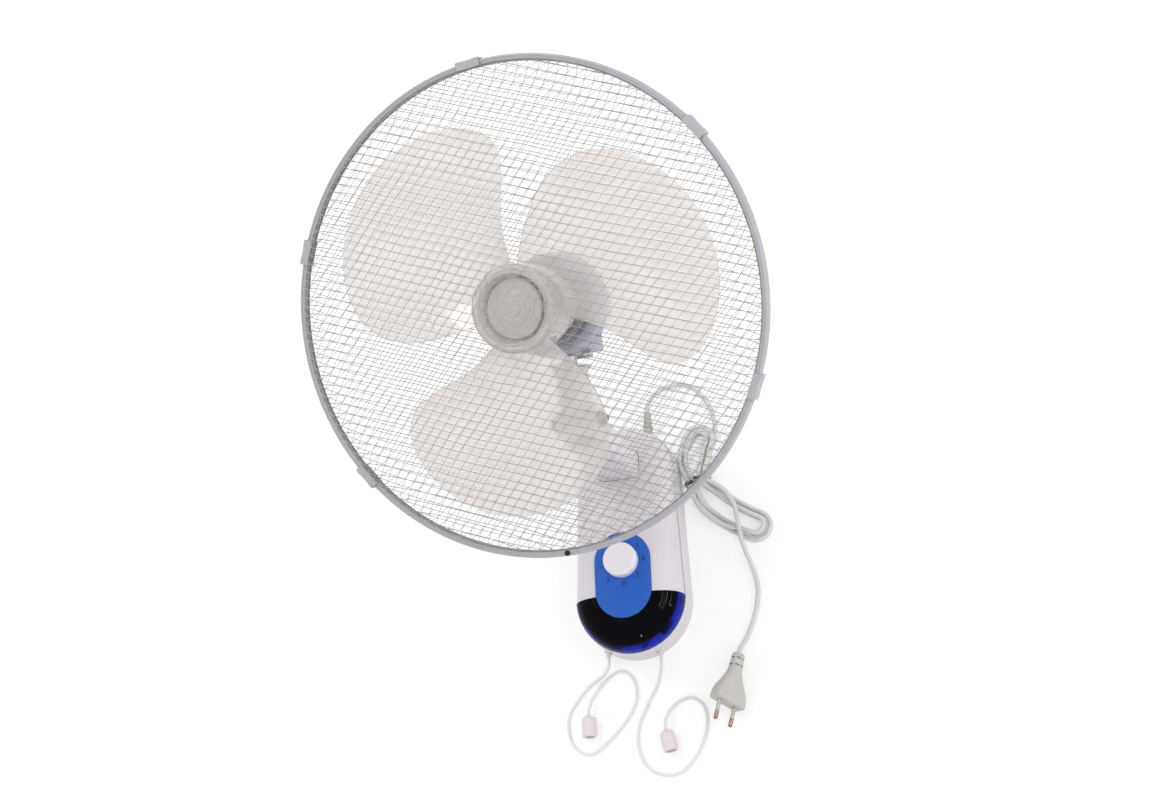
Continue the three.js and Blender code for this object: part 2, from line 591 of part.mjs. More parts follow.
// ---------------------------------------------------------------- neck and swing drive
// drawn about the tilt pin: X along the pin, Y up the neck, Z the way the head looks
function neck() {
  const { eyeR, eyeHalf, boltR } = TILT;
  const { neckR, flangeR, flangeTop } = SWING;
  let body = union(
    bar("x", eyeR, -eyeHalf, eyeHalf, 0, 0, 20),
    box(-eyeHalf, 0, -11.5, eyeHalf, 18, 11.5),
    bar("y", neckR, 15, flangeTop - 3, 0, 0, 24),
    bar("y", flangeR, flangeTop - 4, flangeTop, 0, 0, 24),
    bar("y", 2, flangeTop - 1, flangeTop + 4.6, -CRANK.lug, 0, 12),
  );
  body = cut(body, bar("x", boltR + 0.4, -30, 30, 0, 0, 12));
  return cut(body, bar("y", SWING.pinR + 0.4, 25, 60, 0, 0, 16));
}

// where the crank pin stands at rest, seen from the swing axis
function crankPinAtRest() {
  const a = SWING.rest * DEG;
  const local = [-CRANK.throw, CRANK.z - AXIS_Z];
  return [local[0] * Math.cos(a) + local[1] * Math.sin(a), -local[0] * Math.sin(a) + local[1] * Math.cos(a)];
}

function link() {
  const y0 = HEAD.up - 55;
  const y1 = HEAD.up - 52.2;
  const [px, pz] = crankPinAtRest();
  const dx = px + CRANK.lug;
  const length = Math.hypot(dx, pz);
  const strip = solid(new THREE.BoxGeometry(4.5, y1 - y0, length)
    .rotateY(Math.atan2(dx, pz))
    .translate((px - CRANK.lug) / 2, (y0 + y1) / 2, pz / 2));
  const body = union(strip, bar("y", 4, y0, y1, -CRANK.lug, 0, 20), bar("y", 4, y0, y1, px, pz, 20));
  const hole = (x, z) => bar("y", 2.4, y0 - 1, y1 + 1, x, z, 16);
  return cut(body, hole(-CRANK.lug, 0), hole(px, pz));
}

// ---------------------------------------------------------------- head
// drawn about the centre of the guard ring: Z along the motor shaft, the way the head looks
function crank() {
  return union(
    bar("y", CRANK.discR, -51, -47.8, 0, CRANK.z, 24),
    bar("y", 2.4, -48, -38.5, 0, CRANK.z, 16),
    bar("y", 2, -51.8, -50, -CRANK.throw, CRANK.z, 12),
  );
}

const oscillationMotor = () =>
  cut(bar("y", 13.5, -46, -34.6, 0, CRANK.z, 28), bar("y", 2.8, -50, -38, 0, CRANK.z, 16));

function swivelPin() {
  return union(
    bar("y", 8, -38.5, -35.5, 0, AXIS_Z),
    bar("y", SWING.pinR, -80, -38, 0, AXIS_Z),
    bar("y", 6.5, -56.2, -47.3, 0, AXIS_Z),
  );
}

function motorFrontHousing() {
  const { r, front, split, wall } = MOTOR;
  return turned([
    [r, split], [r, front - 7], [r - 2, front - 2.5], [r - 6, front], [16.2, front], [16.2, -41], [5.2, -41],
    [5.2, -43.4], [9.3, -43.4], [9.3, -58], [12, -58], [12, front - wall], [r - 7, front - wall],
    [r - wall, front - 8], [r - wall, split],
  ], 24);
}

function motorRearHousing() {
  const { r, split, wall } = MOTOR;
  const top = split - 0.4;
  const outside = [[r, -80], [36, -106], [30, -128], [20, -137]];
  const outer = turned([[0, -138], ...[...outside].reverse(), [r, top], [0, top]], 24);
  const inner = turned([[0, -135.5], ...[...outside].reverse().map(([a, z]) => [a - wall, z + 1.2]),
    [r - wall, top + 1], [0, top + 1]], 24);
  const boss = bar("y", 11, -47, -38.8, 0, AXIS_Z, 20);
  const skirt = box(-17, -47.2, -127, 17, -30, -92);
  let body = cut(union(outer, skirt), inner);
  body = union(body, boss);
  body = cut(body, box(-15, -48, -125, 15, -33.5, -94), bar("y", SWING.pinR + GAP, -60, -30, 0, AXIS_Z));
  // the rear bearing's carrier, with windows
  let carrier = cut(bar("z", 35.4, -104, -101.4, 0, 0, 24), bar("z", 5.2, -110, -90));
  carrier = union(carrier, cut(bar("z", 12, -104, -97), bar("z", 5.2, -110, -90)));
  carrier = cut(carrier, bar("z", MOTOR.bearingR + GAP, -101.4, -90, 0, 0, 24));
  for (let i = 0; i < 4; i++) {
    const a = (45 + 90 * i) * DEG;
    carrier = cut(carrier, bar("z", 8, -110, -95, 23 * Math.cos(a), 23 * Math.sin(a), 10));
  }
  body = union(body, cut(carrier, box(-15.5, -48, -125, 15.5, -33.2, -94)));
  // cooling slots in the back
  for (let i = 0; i < 5; i++) {
    const x = -12 + 6 * i;
    const half = Math.sqrt(20 ** 2 - x ** 2) - 2;
    body = cut(body, box(x - 1.1, -half, -140, x + 1.1, half, -130));
  }
  return body;
}

const sleeve = (z0, z1) => turned([[MOTOR.shaftR + GAP, z0], [MOTOR.bearingR, z0], [MOTOR.bearingR, z1],
  [MOTOR.shaftR + GAP, z1]], 24);

const SLOTS = 6;

function statorCore() {
  let core = turned([[20.8, -91], [33.5, -91], [33.5, -66], [20.8, -66]], 24);
  for (let i = 0; i < SLOTS; i++) {
    const a = (360 / SLOTS) * (i + 0.5) * DEG;
    core = cut(core, bar("z", 3.6, -95, -60, 26.5 * Math.cos(a), 26.5 * Math.sin(a), 8));
  }
  return core;
}

// one winding: an end turn at each face of the core, joined through the core's slots
function statorWinding() {
  let winding = union(
    turned([[22, -96.2], [31, -96.2], [31, -91.4], [22, -91.4]], 20),
    turned([[22, -65.6], [31, -65.6], [31, -61], [22, -61]], 20),
  );
  for (let i = 0; i < SLOTS; i++) {
    const a = (360 / SLOTS) * (i + 0.5) * DEG;
    winding = union(winding, bar("z", 3, -92, -65, 26.5 * Math.cos(a), 26.5 * Math.sin(a), 8));
  }
  return winding;
}

function rotorCore() {
  const bore = MOTOR.shaftR + GAP;
  return turned([[bore, -90.5], [20, -90.5], [20, -66.5], [bore, -66.5]]);
}

const rotorShaft = () =>
  turned([[0, -112], [MOTOR.shaftR, -112], [MOTOR.shaftR, 22.6], [3.2, 23.6], [0, 23.6]], 20);

// the domed wire net: height over the ring's middle plane at radius r, rise is negative on the rear net
function domeHeight(r, rise) {
  const sign = Math.sign(rise);
  const share = Math.pow(Math.max(0, 1 - Math.pow(r / MESH.edge, 3)), 0.55);
  return sign * MESH.lift + rise * share;
}

function domeShell(rise) {
  const radii = [0, MESH.hub, 150, 195, MESH.edge];
  const t = (MESH.thick / 2) * Math.sign(rise);
  const outer = radii.map((r) => [r, domeHeight(r, rise) + t]);
  const inner = radii.map((r) => [Math.max(0, r - (r > 180 ? MESH.thick : 0)), domeHeight(r, rise) - t]);
  return turned([...outer, ...inner.reverse()], 16);
}

function wireLattice() {
  const bars = [];
  const count = Math.floor(MESH.edge / MESH.pitch);
  for (const angle of WIRE_ANGLES) {
    for (let i = -count; i <= count; i++) {
      const g = new THREE.BoxGeometry(450, MESH.bar, 200);
      g.translate(0, i * MESH.pitch, 0).rotateZ(angle * DEG);
      bars.push(solid(g));
    }
  }
  return union(...bars);
}

const atAngle = (body, angle) => solid(geometryOf(body).rotateZ(angle * DEG));
const ringBoltHole = () => atAngle(bar("z", 2.2, -20, 20, BOLT_R, 0, 12), SCREW_ANGLE);

function frontGrille() {
  const net = domeShell(MESH.front).intersect(wireLattice());
  const rim = turned([[MESH.edge - 2.4, 3], [211.6, 3], [211.6, 5.4], [MESH.edge - 2.4, 5.4]], 36);
  return cut(union(net, rim), ringBoltHole());
}

function rearGrille() {
  const net = domeShell(-MESH.rear).intersect(wireLattice());
  const rim = turned([[MESH.edge - 2.4, -5.4], [211.6, -5.4], [211.6, -3], [MESH.edge - 2.4, -3]], 36);
  const plateZ = domeHeight(0, -MESH.rear);
  const plate = turned([[16.6, plateZ - 1], [36, plateZ - 1], [36, plateZ + 1], [16.6, plateZ + 1]], 24);
  const opening = bar("z", 16.6, plateZ - 10, plateZ + 10, 0, 0, 24);
  return cut(union(cut(net, opening), plate), ringBoltHole());
}

function grilleNut() {
  const z = domeHeight(0, -MESH.rear) + 1;
  let nut = turned([[16.6, z + 0.7], [29, z + 0.7], [27, z + 6.4], [16.6, z + 6.4]], 24);
  for (let i = 0; i < 6; i++) nut = cut(nut, atAngle(box(26.5, -2, -60, 32, 2, -20), 60 * i));
  return nut;
}

function guardRing() {
  const { outer, inner, half, wall, lip } = RING;
  const band = turned([
    [outer - 1, -half], [outer, -half + 1.5], [outer, half - 1.5], [outer - 1, half], [inner, half],
    [inner, half - lip], [outer - wall, half - lip], [outer - wall, -half + lip],
    [inner, -half + lip], [inner, -half],
  ], 36);
  return cut(band, ringBoltHole());
}

function ringClip(angle) {
  const shell = box(RING.inner - 0.5, -11, -10.8, RING.outer + 2.4, 11, 10.8);
  const room = box(RING.inner - 1, -12, -9.4, RING.outer + 0.4, 12, 9.4);
  return atAngle(cut(shell, room), angle);
}

function ringScrew() {
  const body = turned([[0, -13], [1.7, -13], [1.7, 9.3], [3.2, 9.3], [2.9, 10.6], [0, 11]], 16);
  return atAngle(body.translate([BOLT_R, 0, 0]), SCREW_ANGLE);
}

const ringNut = () =>
  atAngle(cut(bar("z", 3.8, -12, -9.3, BOLT_R, 0, 6), bar("z", 2, -20, 0, BOLT_R, 0, 12)), SCREW_ANGLE);

// the blade's outline: the angles of its two edges at each radius
const BLADE_EDGES = [
  [36, -44, 51], [55, -44.5, 49.8], [68, -45.2, 48.6], [80, -47, 47.4], [95, -49.4, 45.8], [110, -51.5, 43],
  [122, -52.4, 40.3], [135, -52.4, 36.5], [148, -50.3, 30.8], [158, -46.5, 24.5], [166, -41, 17.5],
  [172, -34.5, 10], [176.5, -27, 3], [179.3, -19, -5], [180.3, -14, -10.5],
];

function bladePaddle(first) {
  const ACROSS = 4;
  const heights = (a) => BLADE.level + BLADE.lead * a;
  const row = ([r, low, high], up) =>
    Array.from({ length: ACROSS + 1 }, (_, j) => {
      const a = low + ((high - low) * j) / ACROSS;
      const w = (first + a) * DEG;
      return [r * Math.cos(w), r * Math.sin(w), heights(a) + (up * BLADE.thick) / 2];
    });
  // each ring is the closed section of the paddle at one radius
  const rings = BLADE_EDGES.map((edge) => [...row(edge, 1), ...row(edge, -1).reverse()]);
  return loftSections(rings);
}

// sections whose ends are closed by strips between their two faces
function loftSections(rings) {
  const n = rings[0].length;
  const position = [];
  const quad = (a, b, c, d) => position.push(...a, ...b, ...c, ...a, ...c, ...d);
  for (let k = 0; k + 1 < rings.length; k++) {
    for (let i = 0; i < n; i++) {
      const j = (i + 1) % n;
      quad(rings[k][i], rings[k + 1][i], rings[k + 1][j], rings[k][j]);
    }
  }
  const cap = (ring, flip) => {
    for (let i = 0; i + 1 < n / 2; i++) {
      const [a, b, c, d] = [ring[i], ring[i + 1], ring[n - 2 - i], ring[n - 1 - i]];
      if (flip) quad(a, d, c, b);
      else quad(a, b, c, d);
    }
  };
  cap(rings[0], false);
  cap(rings[rings.length - 1], true);
  const g = new THREE.BufferGeometry();
  g.setAttribute("position", new THREE.BufferAttribute(new Float32Array(position), 3));
  return solid(g);
}

function fanBlade() {
  const { hubR, hubBack, hubFront, seat, seatR, count, first } = BLADE;
  const boreR = MOTOR.shaftR + 0.4;
  const hub = turned([
    [hubR, hubBack], [hubR, hubFront - 2], [hubR - 2, hubFront], [seatR + 3, hubFront], [seatR, seat],
    [boreR, seat], [boreR, hubBack + 4], [9, hubBack + 4], [9, seat - 3], [seatR + 2, seat - 3],
    [seatR + 5.2, hubFront - 3], [hubR - 2.6, hubFront - 3], [hubR - 2.6, hubBack],
  ], 24);
  const core = bar("z", hubR - 1, -60, 60, 0, 0, 24);
  const paddles = Array.from({ length: count }, (_, i) => cut(bladePaddle(first + (360 / count) * i), core));
  return union(hub, ...paddles);
}

function bladeNut() {
  const z = BLADE.seat + GAP;
  return turned([[4.4, z], [22.4, z], [22.4, z + 3], [20, z + 6], [14, z + 8], [0, z + 9], [0, z + 4.2],
    [4.4, z + 4.2]], 24);
}

// ---------------------------------------------------------------- assembly
const fan = new THREE.Group();

add(fan, "wall_bracket", wallBracket(), FINISH.steel);
add(fan, "rear_cover", rearCover(), FINISH.white);
add(fan, "front_housing", frontHousing(), FINISH.white);
[...BOSSES, ARM_SCREW].forEach(([x, y], i) => {
  add(fan, "base_screw_" + (i + 1), baseScrew(x, y), FINISH.steel);
});
add(fan, "support_arm", supportArm(), FINISH.white);
add(fan, "control_panel", controlPanel(), FINISH.blue);
add(fan, "rotary_switch", rotarySwitch(), FINISH.dark);
add(fan, "switch_shaft", switchShaft(), FINISH.plug);
add(fan, "speed_knob", speedKnob(), FINISH.white);
add(fan, "lamp_lens", lampLens(), FINISH.lens);
add(fan, "lamp_reflector", lampReflector(), FINISH.white);
add(fan, "lamp_bulb", lampBulb(), FINISH.clear);
add(fan, "capacitor", capacitor(), FINISH.dark);
add(fan, "terminal_block", terminalBlock(), FINISH.plug);

const PULLS = [
  { side: "left", x: PULL.leftX, route: LEFT_PULL, heading: -89 },
  { side: "right", x: PULL.rightX, route: RIGHT_PULL, heading: -79 },
];
for (const { side, x, route, heading } of PULLS) {
  add(fan, "pull_switch_" + side, pullSwitch(x), FINISH.dark);
  add(fan, "cord_outlet_" + side, cordOutlet(x), FINISH.white);
  add(fan, "pull_cord_" + side, cordAlong(route, PULL.cordR, 38), FINISH.cord);
  add(fan, "pull_bell_" + side, pullBell(route[route.length - 1], heading), FINISH.white);
}

add(fan, "cord_gland", cordGland(), FINISH.cord);
add(fan, "power_cord_lead", cordAlong([...LEAD, ...hankStart()], CORD.r, 18), FINISH.cord);
add(fan, "power_cord_hank", tube(HANK_PATH, CORD.r, 6), FINISH.cord);
add(fan, "hank_tie", hankTie(), FINISH.dark);
add(fan, "power_cord_tail", cordAlong(tailPoints(), CORD.r, 20), FINISH.cord);
add(fan, "plug_body", plugBody(), FINISH.plug);
add(fan, "plug_pin_left", plugPin(-9.3), FINISH.brass);
add(fan, "plug_pin_right", plugPin(9.3), FINISH.brass);

// the lead stops just short of the hank's first straight
function hankStart() {
  const [a, b] = HANK_PATH;
  const heading = a.clone().sub(b).normalize();
  return [7, GAP].map((d) => a.clone().addScaledVector(heading, d).toArray());
}

add(fan, "tilt_bolt", tiltBolt(), FINISH.steel);
add(fan, "tilt_nut", tiltNut(), FINISH.steel);

const tilting = new THREE.Group();
tilting.position.set(0, TILT.y, TILT.z);
tilting.rotation.x = TILT.rest * DEG;
fan.add(tilting);
add(tilting, "neck", neck(), FINISH.white);
add(tilting, "link", link(), FINISH.steel);

const swinging = new THREE.Group();
swinging.rotation.y = SWING.rest * DEG;
tilting.add(swinging);
const head = new THREE.Group();
head.position.set(0, HEAD.up, HEAD.forward);
swinging.add(head);

add(head, "swivel_pin", swivelPin(), FINISH.steel);
add(head, "motor_front_housing", motorFrontHousing(), FINISH.motor);
add(head, "motor_rear_housing", motorRearHousing(), FINISH.motor);
add(head, "stator_core", statorCore(), FINISH.steel);
add(head, "stator_winding", statorWinding(), FINISH.copper);
add(head, "bearing_front", sleeve(-50, -43.8), FINISH.bronze);
add(head, "bearing_rear", sleeve(-101, -97), FINISH.bronze);
add(head, "oscillation_motor", oscillationMotor(), FINISH.steel);
add(head, "crank", crank(), FINISH.plug);
add(head, "rotor_core", rotorCore(), FINISH.steel);
add(head, "rotor_shaft", rotorShaft(), FINISH.steel);
add(head, "fan_blade", fanBlade(), FINISH.blade);
add(head, "blade_nut", bladeNut(), FINISH.blade);
add(head, "rear_grille", rearGrille(), FINISH.steel);
add(head, "front_grille", frontGrille(), FINISH.steel);
add(head, "grille_nut", grilleNut(), FINISH.white);
add(head, "guard_ring", guardRing(), FINISH.ringGrey);
CLIP_ANGLES.forEach((angle, i) => add(head, "ring_clip_" + (i + 1), ringClip(angle), FINISH.ringGrey));
add(head, "ring_screw", ringScrew(), FINISH.steel);
add(head, "ring_nut", ringNut(), FINISH.steel);

export default fan;
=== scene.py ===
# %% [markdown]
# # A wall fan on its back
# An oscillating wall fan lies on a white surface: a domed wire guard with a plastic ring, three milky
# blades, a white base with a blue dial panel and a dark lamp lens, two pull cords and a mains cord folded
# into a hank. The CAD model is the fixed frame. Every piece below is made in millimetres where the CAD has
# it, then turned to metres once, so nothing has to be fitted by eye.

# %% Load the frame
import math

import bmesh
import bpy
from mathutils import Matrix, Vector


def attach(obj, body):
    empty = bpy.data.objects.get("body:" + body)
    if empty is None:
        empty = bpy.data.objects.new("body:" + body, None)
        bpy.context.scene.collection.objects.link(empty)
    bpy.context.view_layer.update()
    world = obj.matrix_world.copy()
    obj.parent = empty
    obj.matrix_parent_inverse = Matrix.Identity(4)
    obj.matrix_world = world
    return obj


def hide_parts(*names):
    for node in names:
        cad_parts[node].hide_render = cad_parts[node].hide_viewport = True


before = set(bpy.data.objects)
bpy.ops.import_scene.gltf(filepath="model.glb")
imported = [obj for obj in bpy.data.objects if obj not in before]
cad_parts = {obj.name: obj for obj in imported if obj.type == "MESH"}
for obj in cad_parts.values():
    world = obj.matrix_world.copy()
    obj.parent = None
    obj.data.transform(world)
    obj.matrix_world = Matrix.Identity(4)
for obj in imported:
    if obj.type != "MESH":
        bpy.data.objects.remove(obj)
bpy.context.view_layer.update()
MM = 0.001
DEG = math.pi / 180

# %% [markdown]
# ## The four frames
# The base stands in the row's own frame. The neck turns about the tilt pin, the head about the swing axis,
# and the guard and blades are drawn about the centre of the guard ring. One matrix for each keeps the
# drawing simple.

# %% Places of the four frames
MILLIMETRES = Matrix.Scale(MM, 4)
TILT_PIN = Vector((0, 80, 174.5))
TILT_REST, SWING_REST = 23 * DEG, -6 * DEG
RING_CENTRE = Vector((0, 106, 82))
AT_BASE = MILLIMETRES
AT_NECK = MILLIMETRES @ Matrix.Translation(TILT_PIN) @ Matrix.Rotation(TILT_REST, 4, "X")
AT_HEAD = AT_NECK @ Matrix.Rotation(SWING_REST, 4, "Y") @ Matrix.Translation(RING_CENTRE)
print("guard ring centre:", [round(c, 4) for c in AT_HEAD.translation])

# %% [markdown]
# ## Camera
# The photograph was taken from about two metres above the fan, a little from its right and from its lower
# end, with a short telephoto lens. The place and heading were found from the guard ring's ellipse and the
# base.

# %% Camera
CAMERA_PLACE = Vector((538.6, -613.3, 1984.9)) * MM
CAMERA_RIGHT = Vector((0.9536, -0.0345, -0.299))
CAMERA_UP = Vector((0.1366, 0.9348, 0.3279))
SENSOR_WIDTH = 36.0
FOCAL_PIXELS, PHOTO_WIDTH = 2256.0, 1150.0

camera_data = bpy.data.cameras.new("camera")
camera_data.sensor_fit = "HORIZONTAL"
camera_data.sensor_width = SENSOR_WIDTH
camera_data.lens = SENSOR_WIDTH * FOCAL_PIXELS / PHOTO_WIDTH
camera_data.clip_end = 50
camera = bpy.data.objects.new("camera", camera_data)
right = CAMERA_RIGHT.normalized()
back = right.cross(CAMERA_UP).normalized()
up = back.cross(right)
camera.matrix_world = Matrix.Translation(CAMERA_PLACE) @ Matrix((right, up, back)).transposed().to_4x4()
bpy.context.scene.collection.objects.link(camera)
bpy.context.scene.camera = camera
print("lens %.1f mm" % camera_data.lens)

# %% [markdown]
# ## Helpers for materials
# Colours are written as on a screen and turned to linear light by one function. One small function adds a
# node with its settings and links, for shader trees and for geometry trees.

# %% Colour and node helpers
def linear(code):
    parts = [int(code[i:i + 2], 16) / 255 for i in (1, 3, 5)]
    return tuple(c / 12.92 if c <= 0.04045 else ((c + 0.055) / 1.055) ** 2.4 for c in parts) + (1.0,)


def add_node(tree, kind, inputs=None, **settings):
    node = tree.nodes.new(kind)
    for name, value in settings.items():
        setattr(node, name, value)
    for key, value in (inputs or {}).items():
        if isinstance(value, bpy.types.NodeSocket):
            tree.links.new(value, node.inputs[key])
        else:
            node.inputs[key].default_value = value
    return node


def new_material(name):
    material = bpy.data.materials.new(name)
    material.use_nodes = True
    material.node_tree.nodes.clear()
    return material, material.node_tree


def close_material(tree, inputs):
    shader = add_node(tree, "ShaderNodeBsdfPrincipled", inputs)
    add_node(tree, "ShaderNodeOutputMaterial", {"Surface": shader.outputs[0]})


def object_place(tree):
    return add_node(tree, "ShaderNodeTexCoord").outputs["Object"]


def noise(tree, place, size_mm, detail):
    return add_node(tree, "ShaderNodeTexNoise", {
        "Vector": place, "Scale": 1000 / size_mm, "Detail": detail}).outputs[0]


def toned(tree, factor, first, second):
    return add_node(tree, "ShaderNodeMix", {
        0: factor, 6: linear(first), 7: linear(second)}, data_type="RGBA").outputs[2]


def bumped(tree, height, strength, relief_mm):
    return add_node(tree, "ShaderNodeBump", {
        "Height": height, "Strength": strength, "Distance": relief_mm * MM}).outputs[0]


# %% [markdown]
# ## Moulded plastic
# Most of the fan is injection moulded. Such a skin has a spark-eroded grain of about a third of a
# millimetre, slow clouds of tone where the melt flowed, and a soft gloss. The grain is a bump of fine
# noise, drawn a little coarser than the real one so that it can show at all; the clouds are a mix of two
# near colours.

# %% Moulded plastic
def speckled(name, colours, roughness, cloud, grain, relief, spread, fixed):
    """A skin with slow clouds of tone and gloss and a fine bump. Cloud and grain are (size in mm, detail)."""
    material, tree = new_material(name)
    place = object_place(tree)
    clouds = noise(tree, place, *cloud)
    gloss = add_node(tree, "ShaderNodeMapRange", {
        "Value": clouds, "To Min": roughness - spread[0], "To Max": roughness + spread[1]})
    close_material(tree, {"Base Color": toned(tree, clouds, *colours), "Roughness": gloss.outputs[0],
                          "Normal": bumped(tree, noise(tree, place, *grain), *relief), **fixed})
    return material


def moulded(name, colour, shade, roughness, grain_mm=0.5, relief_mm=0.02, cloud_mm=40.0, **fixed):
    return speckled(name, (colour, shade), roughness, (cloud_mm, 3), (grain_mm, 2), (0.35, relief_mm),
                    (0.04, 0.06), {"IOR": 1.5, **fixed})


MATERIALS = {
    # ABS, satin mould: the cool white of the base, the arm and the neck
    "white_abs": moulded("white_abs", "#d4cfd2", "#cdc8cc", 0.36),
    # ABS, polished mould: the dial knob is brighter and smoother than the base
    "knob_abs": moulded("knob_abs", "#e6e1e4", "#dfd9de", 0.28, relief_mm=0.01),
    # ABS, spark-eroded mould: the blue dial panel is nearly matt
    "panel_blue_abs": moulded("panel_blue_abs", "#2660bc", "#2257b0", 0.5, grain_mm=0.7, relief_mm=0.04,
                              **{"Specular IOR Level": 0.25}),
    # polypropylene: the lilac grey of the guard ring and its clips
    "ring_polypropylene": moulded("ring_polypropylene", "#a8a7ab", "#9d9ca0", 0.42, cloud_mm=25),
    # ABS: the motor's shell, a darker lilac grey than the base; the darkening is partly painted shade, for
    # the shade it lies in behind the blades
    "motor_abs": moulded("motor_abs", "#b4b2be", "#a9a7b4", 0.45),
    # polypropylene: the bells on the pull cords, a little pink
    "bell_polypropylene": moulded("bell_polypropylene", "#d8ced0", "#cfc4c8", 0.35, cloud_mm=12),
    # soft PVC: the plug and the gland, dull and a little warm
    "plug_pvc": moulded("plug_pvc", "#bbb8b1", "#b1aea7", 0.55, grain_mm=0.8, relief_mm=0.05, cloud_mm=15),
    # PVC sleeve: the cord's skin, smooth from the extruder
    "cord_pvc": moulded("cord_pvc", "#cfcfcb", "#c4c4c0", 0.42, grain_mm=1.2, relief_mm=0.03, cloud_mm=30),
    # phenolic and nylon: switches, capacitor and clamp inside the base
    "dark_nylon": moulded("dark_nylon", "#3b3b40", "#303035", 0.5, grain_mm=0.9, relief_mm=0.05),
    # pad printing ink on the dial
    "dial_ink": moulded("dial_ink", "#121c3c", "#0d1530", 0.45, relief_mm=0.005),
}
print("moulded plastics:", len(MATERIALS))

# %% [markdown]
# ## Metals
# Zinc plated steel is grey with faint clouds from the bath and fine turning marks. Copper wire and sintered
# bronze differ in colour and in grain. Each metal keeps the default IOR; its colour is its reflectance.

# %% Metals
def plain_metal(name, colour, shade, roughness, mark_mm, relief_mm=0.02, cloud_mm=8.0):
    return speckled(name, (colour, shade), roughness, (cloud_mm, 4), (mark_mm, 3), (0.4, relief_mm),
                    (0.07, 0.1), {"Metallic": 1.0})


MATERIALS.update({
    # steel, zinc plated and passivated: bracket, screws, link and pins
    "zinc_steel": plain_metal("zinc_steel", "#b9bbbf", "#a4a6ab", 0.34, 0.6),
    # steel, blackened: the tilt bolt and its nut, and the small screw and nut of the guard ring
    "black_steel": plain_metal("black_steel", "#4a4a4e", "#303034", 0.38, 0.6),
    # silicon steel sheet, stamped and stacked: stator and rotor cores
    "core_steel": plain_metal("core_steel", "#8d9095", "#797c82", 0.42, 0.5, relief_mm=0.05),
    # copper wire with brown enamel: the winding
    "enamelled_copper": plain_metal("enamelled_copper", "#b8743a", "#9d5f2c", 0.35, 0.4, relief_mm=0.12),
    # sintered bronze, full of oil: the two bearings
    "sintered_bronze": plain_metal("sintered_bronze", "#a8824c", "#93703f", 0.5, 0.3, relief_mm=0.06),
    # brass, nickel plated and worn to a warm tone at the tips: the plug's pins
    "pin_brass": plain_metal("pin_brass", "#b08d7a", "#8c6753", 0.28, 0.8),
})
print("materials so far:", len(MATERIALS))

# %% [markdown]
# ## Milky blade plastic
# The blades are polypropylene or AS resin with a little white in it: light passes, but nothing is seen
# sharply through them, so the wires behind show only as a soft grey weave. That is a rough transmission,
# with most of the light scattered back from a warm white.

# %% Milky blade plastic, lamp lens, glass and painted wire
def milky_blade_plastic():
    material, tree = new_material("milky_blade_resin")
    place = object_place(tree)
    close_material(tree, {"Base Color": toned(tree, noise(tree, place, 55, 2), "#f6f2ee", "#f0ebe7"),
                          "Normal": bumped(tree, noise(tree, place, 3, 2), 0.2, 0.03), "Roughness": 0.09,
                          "IOR": 1.49, "Transmission Weight": 0.66})
    return material


# The lens is clear plastic tinted so deep a blue that its middle is black. The blue at its rim is painted
# light:
# the light that comes in from the edge is painted into the colour, in patches. Distance from the lower end's
# centre, (0, -45.5) mm, tells the rim from the middle.
def lamp_lens_plastic():
    material, tree = new_material("blue_lens_polystyrene")
    place = object_place(tree)
    centred = add_node(tree, "ShaderNodeMapping", {
        "Vector": place, "Location": (0, 45.5 * MM, 0), "Scale": (1.0, 1.0, 0.0)})
    radius = add_node(tree, "ShaderNodeVectorMath", {0: centred.outputs[0]}, operation="LENGTH")
    rim = add_node(tree, "ShaderNodeMapRange", {
        "Value": radius.outputs["Value"], "From Min": 47.9 * MM, "From Max": 49.8 * MM},
        interpolation_type="SMOOTHSTEP")
    patchy = add_node(tree, "ShaderNodeMapRange", {
        "Value": noise(tree, place, 16, 1), "From Min": 0.38, "From Max": 0.52, "To Min": 0.12,
        "To Max": 1.0})
    # painted light: the blue of the rim, made patchy by a noise, stands for light that comes in from the edge
    glow = add_node(tree, "ShaderNodeMath", {0: rim.outputs[0], 1: patchy.outputs[0]}, operation="MULTIPLY")
    close_material(tree, {"Base Color": toned(tree, glow.outputs[0], "#000004", "#11209a"),
                          "Roughness": 0.02,
                          "IOR": 1.5, "Specular IOR Level": 0.07})
    return material


# The wires are steel with a thin silver grey paint. Paint gathers at the welds, so the tone changes every
# few millimetres along a wire.
def painted_wire():
    material, tree = new_material("painted_steel_wire")
    place = object_place(tree)
    close_material(tree, {"Base Color": toned(tree, noise(tree, place, 9, 3), "#9f9c9a", "#878482"),
                          "Normal": bumped(tree, noise(tree, place, 0.7, 2), 0.3, 0.04), "Roughness": 0.4,
                          "Metallic": 0.1, "IOR": 1.5})
    return material


# The night lamp's glass: thin and clear, with faint waves from drawing.
def lamp_glass():
    material, tree = new_material("lamp_glass")
    waves = noise(tree, object_place(tree), 5, 1)
    close_material(tree, {"Base Color": linear("#f6f4ec"), "Normal": bumped(tree, waves, 0.2, 0.1),
                          "Roughness": 0.03, "IOR": 1.5, "Transmission Weight": 0.9})
    return material


